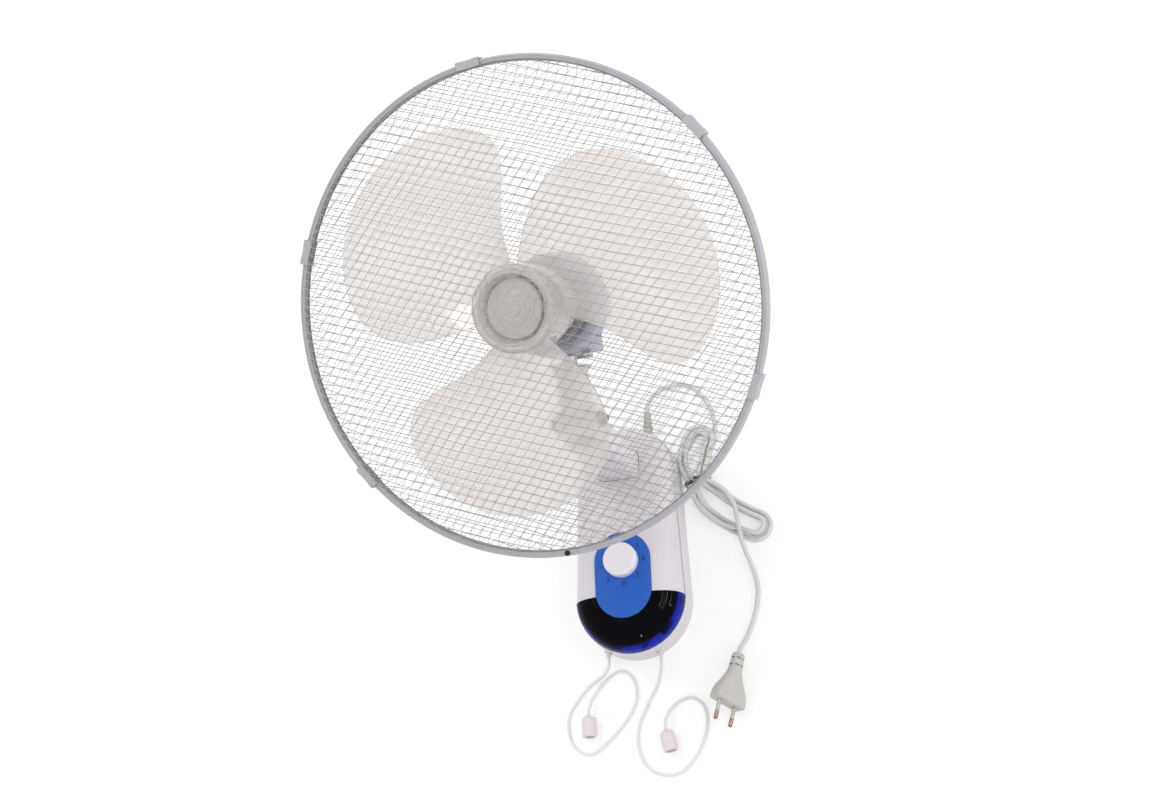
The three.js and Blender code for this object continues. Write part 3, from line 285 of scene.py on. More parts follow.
# The pull cords are braided nylon. The braid's diagonal ribs repeat every 1.5 mm; a wave along and across
# the cord draws them on the curve's own UV map, whose length is scaled by the cord's 280 mm. The same wave
# paints the grooves darker and the crests lighter: painted shade.
def braided_nylon():
    material, tree = new_material("braided_nylon_cord")
    uv = add_node(tree, "ShaderNodeTexCoord").outputs["UV"]
    scaled = add_node(tree, "ShaderNodeMapping", {"Vector": uv, "Scale": (280 / 1.5, 4.0, 1.0)})
    ribs = add_node(tree, "ShaderNodeTexWave", {"Vector": scaled.outputs[0], "Scale": 0.5,
                                                "Distortion": 0.6}, bands_direction="DIAGONAL")
    # painted shade: the braid's colour is darker in the grooves between the ribs and lighter on their crests
    close_material(tree, {"Base Color": toned(tree, ribs.outputs[0], "#cfccc8", "#e2dfdb"),
                          "Normal": bumped(tree, ribs.outputs[0], 0.5, 0.15), "Roughness": 0.6,
                          "IOR": 1.53, "Sheen Weight": 0.2})
    return material


MATERIALS.update({
    "milky_blade_resin": milky_blade_plastic(),
    "blue_lens_polystyrene": lamp_lens_plastic(),
    "painted_steel_wire": painted_wire(),
    "lamp_glass": lamp_glass(),
    "braided_nylon_cord": braided_nylon(),
})
print("all materials:", ", ".join(sorted(MATERIALS)))

# %% [markdown]
# ## Helpers for pieces
# A piece is drawn in millimetres in one of the four frames. It then gets its material, smooth shading with
# sharp edges kept, its body, and the CAD nodes that it stands for.

# %% Piece helpers
SHARP_ANGLE = 32 * DEG


def object_from(name, vertices, faces):
    mesh = bpy.data.meshes.new(name)
    mesh.from_pydata([tuple(v) for v in vertices], [], faces)
    piece = bpy.data.objects.new(name, mesh)
    bpy.context.scene.collection.objects.link(piece)
    work = bmesh.new()
    work.from_mesh(mesh)
    bmesh.ops.remove_doubles(work, verts=work.verts, dist=1e-4)
    bmesh.ops.recalc_face_normals(work, faces=work.faces)
    if work.calc_volume(signed=True) < 0:
        bmesh.ops.reverse_faces(work, faces=work.faces)
    work.to_mesh(mesh)
    work.free()
    return piece


def apply_modifiers(piece):
    bpy.context.view_layer.update()
    evaluated = piece.evaluated_get(bpy.context.evaluated_depsgraph_get())
    mesh = bpy.data.meshes.new_from_object(evaluated)
    piece.modifiers.clear()
    old, piece.data = piece.data, mesh
    if isinstance(old, bpy.types.Mesh):
        bpy.data.meshes.remove(old)
    return piece


def carve(piece, *tools, operation="DIFFERENCE"):
    for tool in tools:
        modifier = piece.modifiers.new("carve", "BOOLEAN")
        modifier.operation, modifier.solver, modifier.object = operation, "EXACT", tool
        apply_modifiers(piece)
        bpy.data.objects.remove(tool)
    return piece


def join(piece, *others):
    return carve(piece, *others, operation="UNION")


def round_edges(piece, width, segments=2, angle=30 * DEG):
    bevel = piece.modifiers.new("bevel", "BEVEL")
    bevel.width, bevel.segments, bevel.angle_limit = width, segments, angle
    bevel.harden_normals = False
    return apply_modifiers(piece)


def settle(piece, place, material, body, replaces=(), sharp=SHARP_ANGLE):
    piece.data.transform(place)
    piece.data.materials.clear()
    piece.data.materials.append(MATERIALS[material])
    for polygon in piece.data.polygons:
        polygon.use_smooth = True
    piece.data.set_sharp_from_angle(angle=sharp)
    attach(piece, body)
    if replaces:
        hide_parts(*replaces)
    return piece


# %% [markdown]
# Turned pieces come from a profile of (radius, height) pairs, lofted pieces from rings of points, and
# plates from a flat outline. These three cover the fan's mouldings.

# %% Shape helpers
def smooth_profile(profile, rounding, segments=3):
    """Rounds every corner of a closed profile that lies off the axis."""
    points = [Vector((r, z)) for r, z in profile]
    out = []
    for i, p in enumerate(points):
        before, after = points[i - 1], points[(i + 1) % len(points)]
        reach = min(rounding, (before - p).length * 0.45, (after - p).length * 0.45)
        if p.x < 1e-6 or reach < 0.02:
            out.append(p)
            continue
        a, b = p + (before - p).normalized() * reach, p + (after - p).normalized() * reach
        for k in range(segments + 1):
            t = k / segments
            out.append(a * (1 - t) ** 2 + p * 2 * t * (1 - t) + b * t ** 2)
    return [(q.x, q.y) for q in out]


def turned(name, profile, steps=96, rounding=0.0, axis="Z"):
    if rounding:
        profile = smooth_profile(profile, rounding)
    vertices, faces = [], []
    n = len(profile)
    for k in range(steps):
        a = 2 * math.pi * k / steps
        vertices += [(r * math.cos(a), r * math.sin(a), z) for r, z in profile]
    for k in range(steps):
        here, there = k * n, (k + 1) % steps * n
        for i in range(n):
            j = (i + 1) % n
            if profile[i][0] < 1e-6 and profile[j][0] < 1e-6:
                continue
            faces.append((here + i, there + i, there + j, here + j))
    piece = object_from(name, vertices, faces)
    bm = bmesh.new()
    bm.from_mesh(piece.data)
    bmesh.ops.dissolve_degenerate(bm, dist=1e-4, edges=bm.edges)
    bm.to_mesh(piece.data)
    bm.free()
    if axis == "X":
        piece.data.transform(Matrix.Rotation(90 * DEG, 4, "Y"))
    elif axis == "Y":
        piece.data.transform(Matrix.Rotation(-90 * DEG, 4, "X"))
    return piece


def lofted(name, rings):
    n = len(rings[0])
    vertices = [p for ring in rings for p in ring]
    faces = []
    for k in range(len(rings) - 1):
        for i in range(n):
            j = (i + 1) % n
            faces.append((k * n + i, k * n + j, (k + 1) * n + j, (k + 1) * n + i))
    faces.append(tuple(reversed(range(n))))
    faces.append(tuple(range((len(rings) - 1) * n, len(rings) * n)))
    return object_from(name, vertices, faces)


def plate(name, outline, low, high):
    return lofted(name, [[(x, y, low) for x, y in outline], [(x, y, high) for x, y in outline]])


def block(name, low, high):
    (x0, y0, z0), (x1, y1, z1) = low, high
    return plate(name, [(x0, y0), (x1, y0), (x1, y1), (x0, y1)], z0, z1)


def arc(radius, steps, centre=(0, 0), start=0.0, end=360.0):
    closed = abs(end - start - 360) < 1e-6
    count = steps if closed else steps + 1
    angles = [(start + (end - start) * i / steps) * DEG for i in range(count)]
    return [(centre[0] + radius * math.cos(a), centre[1] + radius * math.sin(a)) for a in angles]


def rounded_rectangle(x0, y0, x1, y1, r, steps=8):
    corners = [(x1 - r, y1 - r, 0), (x0 + r, y1 - r, 90), (x0 + r, y0 + r, 180), (x1 - r, y0 + r, 270)]
    return [p for x, y, a in corners for p in arc(r, steps, (x, y), a, a + 90)]


def rod(name, radius, low, high, centre=(0, 0), axis="Z", steps=32):
    piece = turned(name, [(0, low), (radius, low), (radius, high), (0, high)], steps, axis=axis)
    u, v = centre
    piece.data.transform(Matrix.Translation({"X": (0, u, v), "Y": (u, 0, v), "Z": (u, v, 0)}[axis]))
    return piece


def moved(piece, matrix):
    piece.data.transform(matrix)
    return piece


# %% [markdown]
# ## Mains cord
# The cord is a smooth round PVC lead of 4.6 mm. It leaves the gland at the base's top end, drops to the
# table, and goes into a hank of three and a half long loops tied at the waist. Its free end comes out over
# the loops, runs down beside the base and ends in a flat two-pin plug. It is one curve on the route that
# the CAD uses. The loops follow a rule, so their points are computed: a bent axis, half-circle tips, and a
# small change of lane or layer on each return run.

# %% Route of the hank
CORD_R = 2.3
LEFT_TIP, HANK_BEND, RIGHT_TIP = (68, 108), (44, 58), (118, 17.5)
TIP_R, LANE, WAIST_HALF, WAIST_AT, WAIST_SPAN, WAIST_LIFT, HANK_END = 8, 5.6, 2.9, 0.42, 0.24, 1.6, 0.66
RUN_STATIONS = [i / 14 for i in range(14)]
TURN_STEPS = 8


def ease(x, low, high):
    t = min(max((x - low) / (high - low), 0.0), 1.0)
    return t * t * (3 - 2 * t)


def hank_point(t, side, ring, layer, swing=0.0):
    def at(c):
        return (1 - t) ** 2 * LEFT_TIP[c] + 2 * t * (1 - t) * HANK_BEND[c] + t ** 2 * RIGHT_TIP[c]

    def along(c):
        return 2 * (1 - t) * (HANK_BEND[c] - LEFT_TIP[c]) + 2 * t * (RIGHT_TIP[c] - HANK_BEND[c])

    length = math.hypot(along(0), along(1))
    ex, ey = along(0) / length, along(1) / length
    near = ease(1 - abs(t - WAIST_AT) / WAIST_SPAN, 0, 1)
    out = TIP_R + (WAIST_HALF - TIP_R) * near + LANE * ring
    across, ahead = side * out * math.cos(swing), out * math.sin(swing)
    return Vector((at(0) - ey * across + ex * ahead, at(1) + ex * across + ey * ahead,
                   CORD_R + WAIST_LIFT * near + LANE * layer))


def hank_route():
    loops = [
        (1, 0, lambda t: (1 - ease(1 - t, 0.76, 0.97), 0)), (0, 0, lambda t: (0, ease(1 - t, 0.24, 0.42))),
        (0, 1, lambda t: (ease(1 - t, 0.02, 0.2), 1)), (1, 1, None),
    ]
    route = []
    for ring, layer, change in loops:
        last = change is None
        stations = RUN_STATIONS
        if last:
            stations = [t for t in RUN_STATIONS if t < HANK_END] + [HANK_END, HANK_END + 0.05]
        for t in stations:
            rise = ease(t, 0.47, HANK_END) if last else 0
            route.append(hank_point(t, 1, ring, layer + rise))
        if last:
            break
        route += [hank_point(1, 1, ring, layer, math.pi * i / TURN_STEPS) for i in range(TURN_STEPS)]
        route.append(hank_point(1, -1, *change(1)))
        route += [hank_point(t, -1, *change(t)) for t in reversed(RUN_STATIONS[1:])]
        route += [hank_point(0, -1, *change(0), -math.pi * i / TURN_STEPS) for i in range(TURN_STEPS)]
    return route


HANK = hank_route()
print("hank:", len(HANK), "points")

# %% The whole mains cord
PLUG_FACE = Vector((83.7, -152.1, 19.6))
PLUG_HEADING, PLUG_PITCH, PLUG_ROLL = -103.5 * DEG, 12 * DEG, 55 * DEG
PLUG_LENGTH, RELIEF_LENGTH = 28.5, 21.0


def behind_plug(distance):
    level = math.cos(PLUG_PITCH)
    ahead = Vector((math.cos(PLUG_HEADING) * level, math.sin(PLUG_HEADING) * level, math.sin(PLUG_PITCH)))
    return PLUG_FACE - ahead * distance


LEAD = [(20, 141.2, 11), (20, 146, 10.9), (21.5, 152, 9.8), (27.5, 161, 6.8), (38, 168, 3.4),
        (51, 169.5, 2.3), (64.5, 164, 2.3), (74.5, 152, 2.3), (81.5, 137, 2.3), (84.2, 123, 2.3),
        (83.6, 113.5, 2.3)]
TAIL = [(100.2, 38.5, 13.6), (102, 27, 13.6), (103.6, 15, 13.6), (105.2, 3.5, 13.4), (107.4, -6.5, 10.2),
        (110.6, -17.5, 5), (113.6, -29, 2.6), (115.6, -42, 2.4), (114, -57, 2.4), (110.2, -70.5, 2.4),
        (106, -81, 2.7), (101.5, -90.6, 4.4)]


def flow(points, spacing):
    """Even points, in millimetres, on a smooth curve through the given ones."""
    pts = [Vector(p) for p in points]
    pts = [pts[0] * 2 - pts[1]] + pts + [pts[-1] * 2 - pts[-2]]
    fine = []
    for p0, p1, p2, p3 in zip(pts, pts[1:], pts[2:], pts[3:]):
        count = max(2, round((p2 - p1).length / spacing))
        k0, k1, k2 = ((b - a).length ** 0.5 for a, b in ((p0, p1), (p1, p2), (p2, p3)))
        m1 = (p1 - p0) / k0 - (p2 - p0) / (k0 + k1) + (p2 - p1) / k1
        m2 = (p2 - p1) / k1 - (p3 - p1) / (k1 + k2) + (p3 - p2) / k2
        m1, m2 = m1 * k1, m2 * k1
        for i in range(count):
            t = i / count
            fine.append(p1 * (2 * t ** 3 - 3 * t ** 2 + 1) + m1 * (t ** 3 - 2 * t ** 2 + t)
                        + p2 * (3 * t ** 2 - 2 * t ** 3) + m2 * (t ** 3 - t ** 2))
    fine.append(pts[-2])
    return fine


def length_of(points):
    return sum((b - a).length for a, b in zip(points, points[1:]))


def cord_curve(name, points, radius, material, body, replaces, sides=4):
    curve = bpy.data.curves.new(name, "CURVE")
    curve.dimensions = "3D"
    spline = curve.splines.new("POLY")
    spline.points.add(len(points) - 1)
    for target, p in zip(spline.points, points):
        target.co = (*(p * MM), 1.0)
    curve.bevel_depth, curve.bevel_resolution = radius * MM, sides
    curve.use_fill_caps = True
    curve.materials.append(MATERIALS[material])
    spline.use_smooth = True
    piece = bpy.data.objects.new(name, curve)
    bpy.context.scene.collection.objects.link(piece)
    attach(piece, body)
    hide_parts(*replaces)
    return piece


mains_route = flow(LEAD + [tuple(p) for p in HANK] + TAIL
                   + [tuple(behind_plug(PLUG_LENGTH + RELIEF_LENGTH + d)) for d in (5, 0.3)], 2.2)
mains_cord = cord_curve("mains_cord", mains_route, CORD_R, "cord_pvc", "base",
                        ["power_cord_lead", "power_cord_hank", "power_cord_tail"])

# %% [markdown]
# ## Pull cords
# Two braided cords of 3 mm hang from the switches when the fan is on its wall. Here they lie on the table
# in the two open loops of the photograph, each with a bell on its end. The left one crosses nothing, the
# right one curls round its own bell.

# %% Pull cords
PULL_R, PULL_LIFT, PULL_START = 1.5, 10.5, -72
OUTLETS = {"left": -28.5, "right": 22.0}
LEFT_PULL = [(-28.5, -97.6, 10.5), (-28.5, -99, 10.5), (-29.3, -104.5, 9.8), (-34, -109.4, 6.6),
             (-41.5, -113, 3), (-51, -118.5, 1.5), (-63.3, -131.5, 1.5), (-70.7, -142.6, 1.5),
             (-72.9, -155.9, 1.5), (-70, -169.7, 1.5), (-62.4, -178.8, 1.5), (-53, -182.2, 1.5),
             (-42.6, -179, 1.5), (-31.8, -170, 1.5), (-19.3, -157.9, 1.5), (-10, -145.3, 1.5),
             (-5.2, -132.3, 1.5), (-7.1, -117, 1.5), (-13.6, -108.8, 1.5), (-22.2, -107.3, 1.5),
             (-32.8, -113, 1.5), (-42.5, -122.5, 2), (-48.7, -133.5, 4.2), (-50.7, -141, 6.6),
             (-51.2, -146.5, 7.3)]
RIGHT_PULL = [(22, -101, 10.5), (22, -102, 10.5), (21.4, -109, 9.4), (18.4, -117.5, 4.6),
              (13.6, -126.5, 1.7), (5.6, -140.3, 1.5), (-1.9, -154.5, 1.5), (-6, -169.2, 1.5),
              (-5, -184.3, 1.5), (1.1, -198, 1.5), (11, -205.6, 1.5), (22.7, -208.3, 1.5),
              (34.7, -206.1, 1.5), (45.2, -197.3, 1.5), (54.4, -183.3, 1.5), (59.4, -169, 1.5),
              (60.2, -155.8, 1.5), (56.5, -145.5, 1.5), (46.8, -138.7, 1.5), (35.3, -140.9, 1.5),
              (26.3, -148.3, 2.5), (22.5, -156.5, 5.2), (21.8, -162, 7), (22.2, -167, 7.3)]
BELL_HEADINGS = {"left": -89 * DEG, "right": -79 * DEG}
pull_routes = {"left": flow(LEFT_PULL, 1.6), "right": flow(RIGHT_PULL, 1.6)}
pull_cords = {}
for side, route in pull_routes.items():
    inside = [Vector((route[0].x, y, PULL_LIFT)) for y in range(PULL_START, int(route[0].y), -4)]
    pull_cords[side] = cord_curve("braided_pull_" + side, inside + route, PULL_R, "braided_nylon_cord",
                                  "pull_" + side, ["pull_cord_" + side], sides=3)
    print("pull cord", side, "%.3f m" % (length_of(inside + route) * MM))

# %% [markdown]
# ## Bells
# Each bell is a small moulded bullet: a domed end where the cord goes in and an open end, in which the knot
# hides. It is turned from a profile, a knot is set inside, and both are laid on their side.

# %% Bells on the pull cords
BELL_R, BELL_LENGTH = 7.0, 21.0
bells, knots = {}, {}
for side, route in pull_routes.items():
    profile = [(0, 0.3), (2.6, 0.3), (3.4, 1.0), (5.4, 2.2), (6.6, 4.0), (BELL_R, 6.5), (BELL_R, 15.0),
               (6.75, 15.3), (6.75, 15.8), (BELL_R, 16.1), (BELL_R, 19.6), (6.2, BELL_LENGTH),
               (4.6, BELL_LENGTH), (4.2, 17), (0, 17)]
    bell = turned("pull_bell_" + side + "_moulding", profile, 64, rounding=0.5)
    lay_down = Matrix.Rotation(90 * DEG, 4, "Y")
    to_cord_end = Matrix.Translation(route[-1]) @ Matrix.Rotation(BELL_HEADINGS[side], 4, "Z")
    bell = moved(moved(bell, lay_down), to_cord_end)
    knot = [(0, 16.9), (1.9, 16.9), (2.9, 17.8), (2.7, 19.2), (1.5, 19.9), (1.5, 21.2), (0, 21.2)]
    knot = turned("pull_knot_" + side, knot, 32, rounding=0.5)
    knot = moved(moved(knot, lay_down), to_cord_end)
    knots[side] = settle(knot, AT_BASE, "plug_pvc", "pull_" + side)
    bells[side] = settle(bell, AT_BASE, "bell_polypropylene", "pull_" + side,
                         ["pull_bell_" + side])
for side, cord in pull_cords.items():
    route = pull_routes[side]
print("bells:", len(bells))

# %% [markdown]
# ## Plug and gland
# The flat plug is PVC moulded round two pins of 4 mm: a wedge that narrows to a strain relief with two rows
# of slots. It leans on one edge, its pins a little raised. A wedge is a loft of rounded rectangles; the
# slots are cut. The pins have an insulating sleeve on their first half. The gland at the base is a tapered,
# ribbed sleeve.

# %% Plug
AT_PLUG = (MILLIMETRES @ Matrix.Translation(PLUG_FACE) @ Matrix.Rotation(PLUG_HEADING + 90 * DEG, 4, "Z")
           @ Matrix.Rotation(-PLUG_PITCH, 4, "X") @ Matrix.Rotation(PLUG_ROLL, 4, "Y"))
PIN_SPREAD, PIN_R, PIN_LENGTH = 9.3, 2.0, 19.0


def plug_section(y, half_width, half_height, corner):
    outline = rounded_rectangle(-half_width, -half_height, half_width, half_height, corner, 6)
    return [(x, y, z) for x, z in outline]


plug = lofted("plug_moulding", [plug_section(*row) for row in (
    (0, 16.4, 6.2, 2.2), (0.7, 17.0, 6.8, 2.2), (2.4, 17.2, 6.9, 2.4), (8, 17.0, 6.9, 3.0),
    (12, 15.8, 6.9, 3.4), (16, 13.9, 6.7, 3.8), (20, 11.8, 6.4, 4.0), (24, 9.9, 6.2, 4.2),
    (27, 8.7, 6.1, 4.6), (30, 7.4, 6.0, 5.0), (33, 6.6, 5.9, 5.2), (49, 5.7, 5.3, 4.8),
    (49.5, 5.3, 4.9, 4.5))])
for y in (36.5, 43.5):
    for x0, x1 in ((-9, -0.9), (0.9, 9)):
        plug = carve(plug, block("slot", (x0, y, 3.4), (x1, y + 1.5, 9)),
                     block("slot", (x0, y, -9), (x1, y + 1.5, -3.4)))
    for x0, x1 in ((-9, -4), (4, 9)):
        plug = carve(plug, block("side_slot", (x0, y, -2), (x1, y + 1.5, 2)))
for x in (-PIN_SPREAD, PIN_SPREAD):
    plug = carve(plug, rod("socket", PIN_R + 0.3, -1, 6, (x, 0), "Y"))
plug = settle(plug, AT_PLUG, "plug_pvc", "base", ["plug_body"], sharp=40 * DEG)

# %% Pins with their sleeves
sleeves, tips = [], []
for k, x in enumerate((-PIN_SPREAD, PIN_SPREAD)):
    name = ("left", "right")[k]
    sleeve = turned("pin_sleeve_" + name,
                    [(0, 4.6), (PIN_R, 4.6), (PIN_R, -10.4), (1.7, -10.8), (0, -10.8)], 40, axis="Y")
    sleeves.append(settle(moved(sleeve, Matrix.Translation((x, 0, 0))), AT_PLUG, "plug_pvc", "base"))
    tip = turned("pin_tip_" + name,
                 [(0, -10.9), (1.95, -10.9), (1.95, -17.2), (1.75, -18.2), (1.1, -PIN_LENGTH),
                  (0, -PIN_LENGTH)], 40, axis="Y")
    tips.append(settle(moved(tip, Matrix.Translation((x, 0, 0))), AT_PLUG, "pin_brass", "base",
                       ["plug_pin_" + name]))
print("plug with", len(tips), "pins")

# %% Gland
gland_profile = [(2.9, -12), (5, -12), (5, 3), (4.7, 4.5)]
for k in range(5):
    y = 5.2 + 3.7 * k
    r = 4.6 - 0.25 * k
    gland_profile += [(r, y), (r - 0.06, y + 2.1), (3.3, y + 2.3), (3.3, y + 3.4)]
gland_profile += [(3.4, 24), (2.6, 24)]
gland = turned("gland_sleeve", gland_profile, 64, axis="Y")
gland = settle(moved(gland, Matrix.Translation((20, 117.5, 11))), AT_BASE, "plug_pvc", "base",
               ["cord_gland"])

# %% [markdown]
# The hank is held by a twisted wire tie in a dark plastic skin. It is a flat band that goes once round all
# seven strands at the waist, with its two ends twisted together on top. The ring hides it in the
# photograph.

# %% Twist tie
def waist_frame():
    centre, ahead = hank_point(WAIST_AT, 0, 0, 0), hank_point(WAIST_AT + 0.01, 0, 0, 0)
    heading = math.atan2(ahead.y - centre.y, ahead.x - centre.x)
    return Matrix.Translation((centre.x, centre.y, 0)) @ Matrix.Rotation(heading, 4, "Z")


tie_low, tie_high = CORD_R + WAIST_LIFT - 3.2, CORD_R + WAIST_LIFT + LANE + 3.2
tie_half = WAIST_HALF + LANE + 3.5
inner = rounded_rectangle(-tie_half, tie_low, tie_half, tie_high, 3.0, 8)
outer = rounded_rectangle(-tie_half - 0.6, tie_low - 0.6, tie_half + 0.6, tie_high + 0.6, 3.6, 8)
hank_tie = lofted("twist_tie_band", [[(x, y, z) for y, z in outer] for x in (-1.9, 1.9)])
hank_tie = carve(hank_tie, lofted("room", [[(x, y, z) for y, z in inner] for x in (-4, 4)]))
twist = []
for k in range(29):
    t = k / 28
    a = t * 5 * math.pi
    z = tie_high + 0.2 + 6.6 * t
    corners = [(1.3 if i % 2 else 0.58, a + i * math.pi / 4) for i in range(8)]
    twist.append([(r * math.cos(q), r * math.sin(q), z) for r, q in corners])
hank_tie = join(hank_tie, lofted("twist", twist))
hank_tie = settle(moved(hank_tie, waist_frame()), AT_BASE, "dark_nylon", "base",
                  ["hank_tie"])
print("tie at the waist:", len(hank_tie.data.polygons), "faces")

# %% [markdown]
# ## Wall base
# The base is one crowned moulding: a round lower end, sides that taper a little and a flatter round top.
# Its height follows a rule: flat in the middle, then a quick fall to the edge. Rings of the outline shrunk
# towards the base's spine, each at its own height, make that skin. A narrow seam where the crown meets the
# wall gives the thin double line that runs along both sides in the photograph.

# %% The base's outline and crown
LOW_HALF, LOW_Y, TOP_HALF, TOP_Y, TOP_RISE = 52.5, -45.5, 47.5, 80.0, 41.0
EDGE_Z, CROWN = 26.0, 27.5
ARC_STEPS, SIDE_STEPS = 48, 14


def base_ring(inset, share, z, ripple=None):
    ring = []
    for i in range(ARC_STEPS + 1):
        a = math.pi + math.pi * i / ARC_STEPS
        r = (LOW_HALF - inset) * share
        ring.append((r * math.cos(a), LOW_Y + r * math.sin(a)))
    for i in range(1, SIDE_STEPS):
        t = i / SIDE_STEPS
        ring.append(((LOW_HALF + (TOP_HALF - LOW_HALF) * t - inset) * share, LOW_Y + (TOP_Y - LOW_Y) * t))
    for i in range(ARC_STEPS + 1):
        a = math.pi * i / ARC_STEPS
        ring.append(((TOP_HALF - inset) * share * math.cos(a),
                     TOP_Y + (TOP_RISE - inset) * share * math.sin(a)))
    for i in range(SIDE_STEPS - 1, 0, -1):
        t = i / SIDE_STEPS
        ring.append((-(LOW_HALF + (TOP_HALF - LOW_HALF) * t - inset) * share, LOW_Y + (TOP_Y - LOW_Y) * t))
    return [(x, y, z + (ripple(x, y) if ripple else 0)) for x, y in ring]


def crown_height(share, inset=0.0):
    return EDGE_Z - inset * 0.6 + (CROWN - inset * 0.4) * (1 - share ** 3.2) ** 0.41


def crowned(name, inset, bottom, shares, ledge=0.0, ripple=None):
    rings = [base_ring(inset, 1, bottom)]
    if ledge:
        rings += [base_ring(inset + cut, 1, EDGE_Z - drop) for cut, drop in SEAM]
        inset += ledge
    for share in shares:
        rings.append(base_ring(inset, share, crown_height(share, inset if not ledge else 0), ripple))
    return lofted(name, rings)


SEAM = [(0, 1.0), (0.3, 0.5), (0.8, 0.5), (0.95, 0.95), (1.25, 0.95)]
SHARES = [1, 0.997, 0.99, 0.98, 0.965, 0.945, 0.92, 0.89, 0.85, 0.8, 0.74, 0.67, 0.59, 0.5, 0.4, 0.28, 0.14]
PANEL_R, PANEL_HIGH, PANEL_LOW, PANEL_TOP, PANEL_THICK = 26.7, -15.4, -43.5, 53.4, 3.0
LENS_TOP, GAP = -47.4, 0.3


def capsule(name, radius, low, high, steps=40):
    outline = arc(radius, steps, (0, PANEL_LOW), 180, 360) + arc(radius, steps, (0, PANEL_HIGH), 0, 180)
    return plate(name, outline, low, high)


# %% Base housing
housing = crowned("base_moulding", 0.0, 0.0, SHARES, ledge=1.35)
housing = carve(housing, crowned("inside", 2.8, -5.0, SHARES))
housing = join(housing, carve(capsule("well", PANEL_R + 2.2, 46.6, 52.0),
                              block("below", (-90, -120, 40), (90, LENS_TOP + GAP, 60))))
housing = carve(
    housing,
    block("lens_room", (-90, -140, EDGE_Z - GAP), (90, LENS_TOP, 90)),
    capsule("panel_room", PANEL_R + GAP, PANEL_TOP - PANEL_THICK - GAP, 90),
    capsule("window", PANEL_R - 2.5, 30, 90),
    plate("arm_room", rounded_rectangle(-20.5, 62.5, 20.5, 90.5, 7.5), 30, 90),
    *[rod("outlet", 4.5, -115, -70, (x, PULL_LIFT), "Y") for x in OUTLETS.values()],
    rod("gland_hole", CORD_R + 3.1, 100, 140, (20, 11), "Y"))
housing = settle(housing, AT_BASE, "white_abs", "base", ["front_housing"], sharp=24 * DEG)
print("base housing:", len(housing.data.polygons), "faces")

# %% [markdown]
# ## Lamp lens
# The lower end of the crown is a night lamp's lens. Its skin has low concentric ridges, 2.6 mm apart, round
# the end of the dial panel; they break every reflection into short streaks. The ridges are real relief on
# the same crown, then the zone of the lens is cut out of it.

# %% Lamp lens
RIDGE_PITCH, RIDGE_HEIGHT = 2.6, 0.07


def lens_ripple(x, y):
    distance = math.hypot(x, y - PANEL_LOW)
    fade = ease(distance, 27, 29) * (1 - ease(distance, 44.5, 46.5))
    return RIDGE_HEIGHT * fade * math.cos(2 * math.pi * distance / RIDGE_PITCH)


fine_shares = [1, 0.997, 0.99, 0.98, 0.965] + [0.95 - 0.0085 * i for i in range(56)] + [0.44, 0.3, 0.14]
lens = crowned("lens_moulding", 0.35, 20, fine_shares, ripple=lens_ripple)
lens = carve(lens, crowned("inside", 2.5, 10.0, SHARES))
lens = carve(lens, block("upper", (-90, LENS_TOP - GAP, 0), (90, 160, 90)),
             block("skirt", (-90, -140, 0), (90, 90, EDGE_Z)),
             capsule("panel_gap", PANEL_R + GAP, 0, 90))
lens = settle(lens, AT_BASE, "blue_lens_polystyrene", "base", ["lamp_lens"], sharp=40 * DEG)
print("lens:", len(lens.data.polygons), "faces")

# %% [markdown]
# ## Dial panel and knob
# A capsule-shaped blue plate carries the dial. Its figures are pad printed: 0 to 3, a second 1 for the
# other lamp setting and two marks. The knob is a plain bevelled disc with a slightly dished face.

# %% Dial panel
KNOB_Y = -16.5
panel = capsule("dial_panel_moulding", PANEL_R, PANEL_TOP - PANEL_THICK, PANEL_TOP, 56)
panel = round_edges(panel, 0.8, 3)
panel = carve(panel, rod("shaft_hole", 3.6, 40, 60, (0, KNOB_Y)))
panel = settle(panel, AT_BASE, "panel_blue_abs", "base", ["control_panel"])

DIAL_MARKS = [("1", 15.9, -3.4), ("2", 20.8, -16.3), ("3", 14.2, -31.4), ("0", 0.6, -38.2),
              ("1", -14.1, -33.4)]
DIAL_DOTS = [(1.8, 3.4), (-20.3, -20)]


def printed_figure(index, text, x, y):
    font = bpy.data.curves.new("figure", "FONT")
    font.body, font.size, font.extrude = text, 6.4, 0.05
    font.align_x, font.align_y, font.offset = "CENTER", "CENTER", 0.16
    holder = bpy.data.objects.new("dial_figure_%d" % index, font)
    bpy.context.scene.collection.objects.link(holder)
    bpy.context.view_layer.update()
    mesh = bpy.data.meshes.new_from_object(holder.evaluated_get(bpy.context.evaluated_depsgraph_get()))
    piece = bpy.data.objects.new("dial_figure_print_%d" % index, mesh)
    bpy.context.scene.collection.objects.link(piece)
    bpy.data.objects.remove(holder)
    return settle(moved(piece, Matrix.Translation((x, y, PANEL_TOP + 0.05))), AT_BASE, "dial_ink", "base")


for k, (text, x, y) in enumerate(DIAL_MARKS):
    printed_figure(k, text, x, y)
for k, (x, y) in enumerate(DIAL_DOTS):
    dot = rod("dial_dot_print_%d" % k, 0.8, PANEL_TOP - 0.02, PANEL_TOP + 0.08, (x, y))
    settle(dot, AT_BASE, "dial_ink", "base")
print("dial figures:", len(DIAL_MARKS), "and dots:", len(DIAL_DOTS))

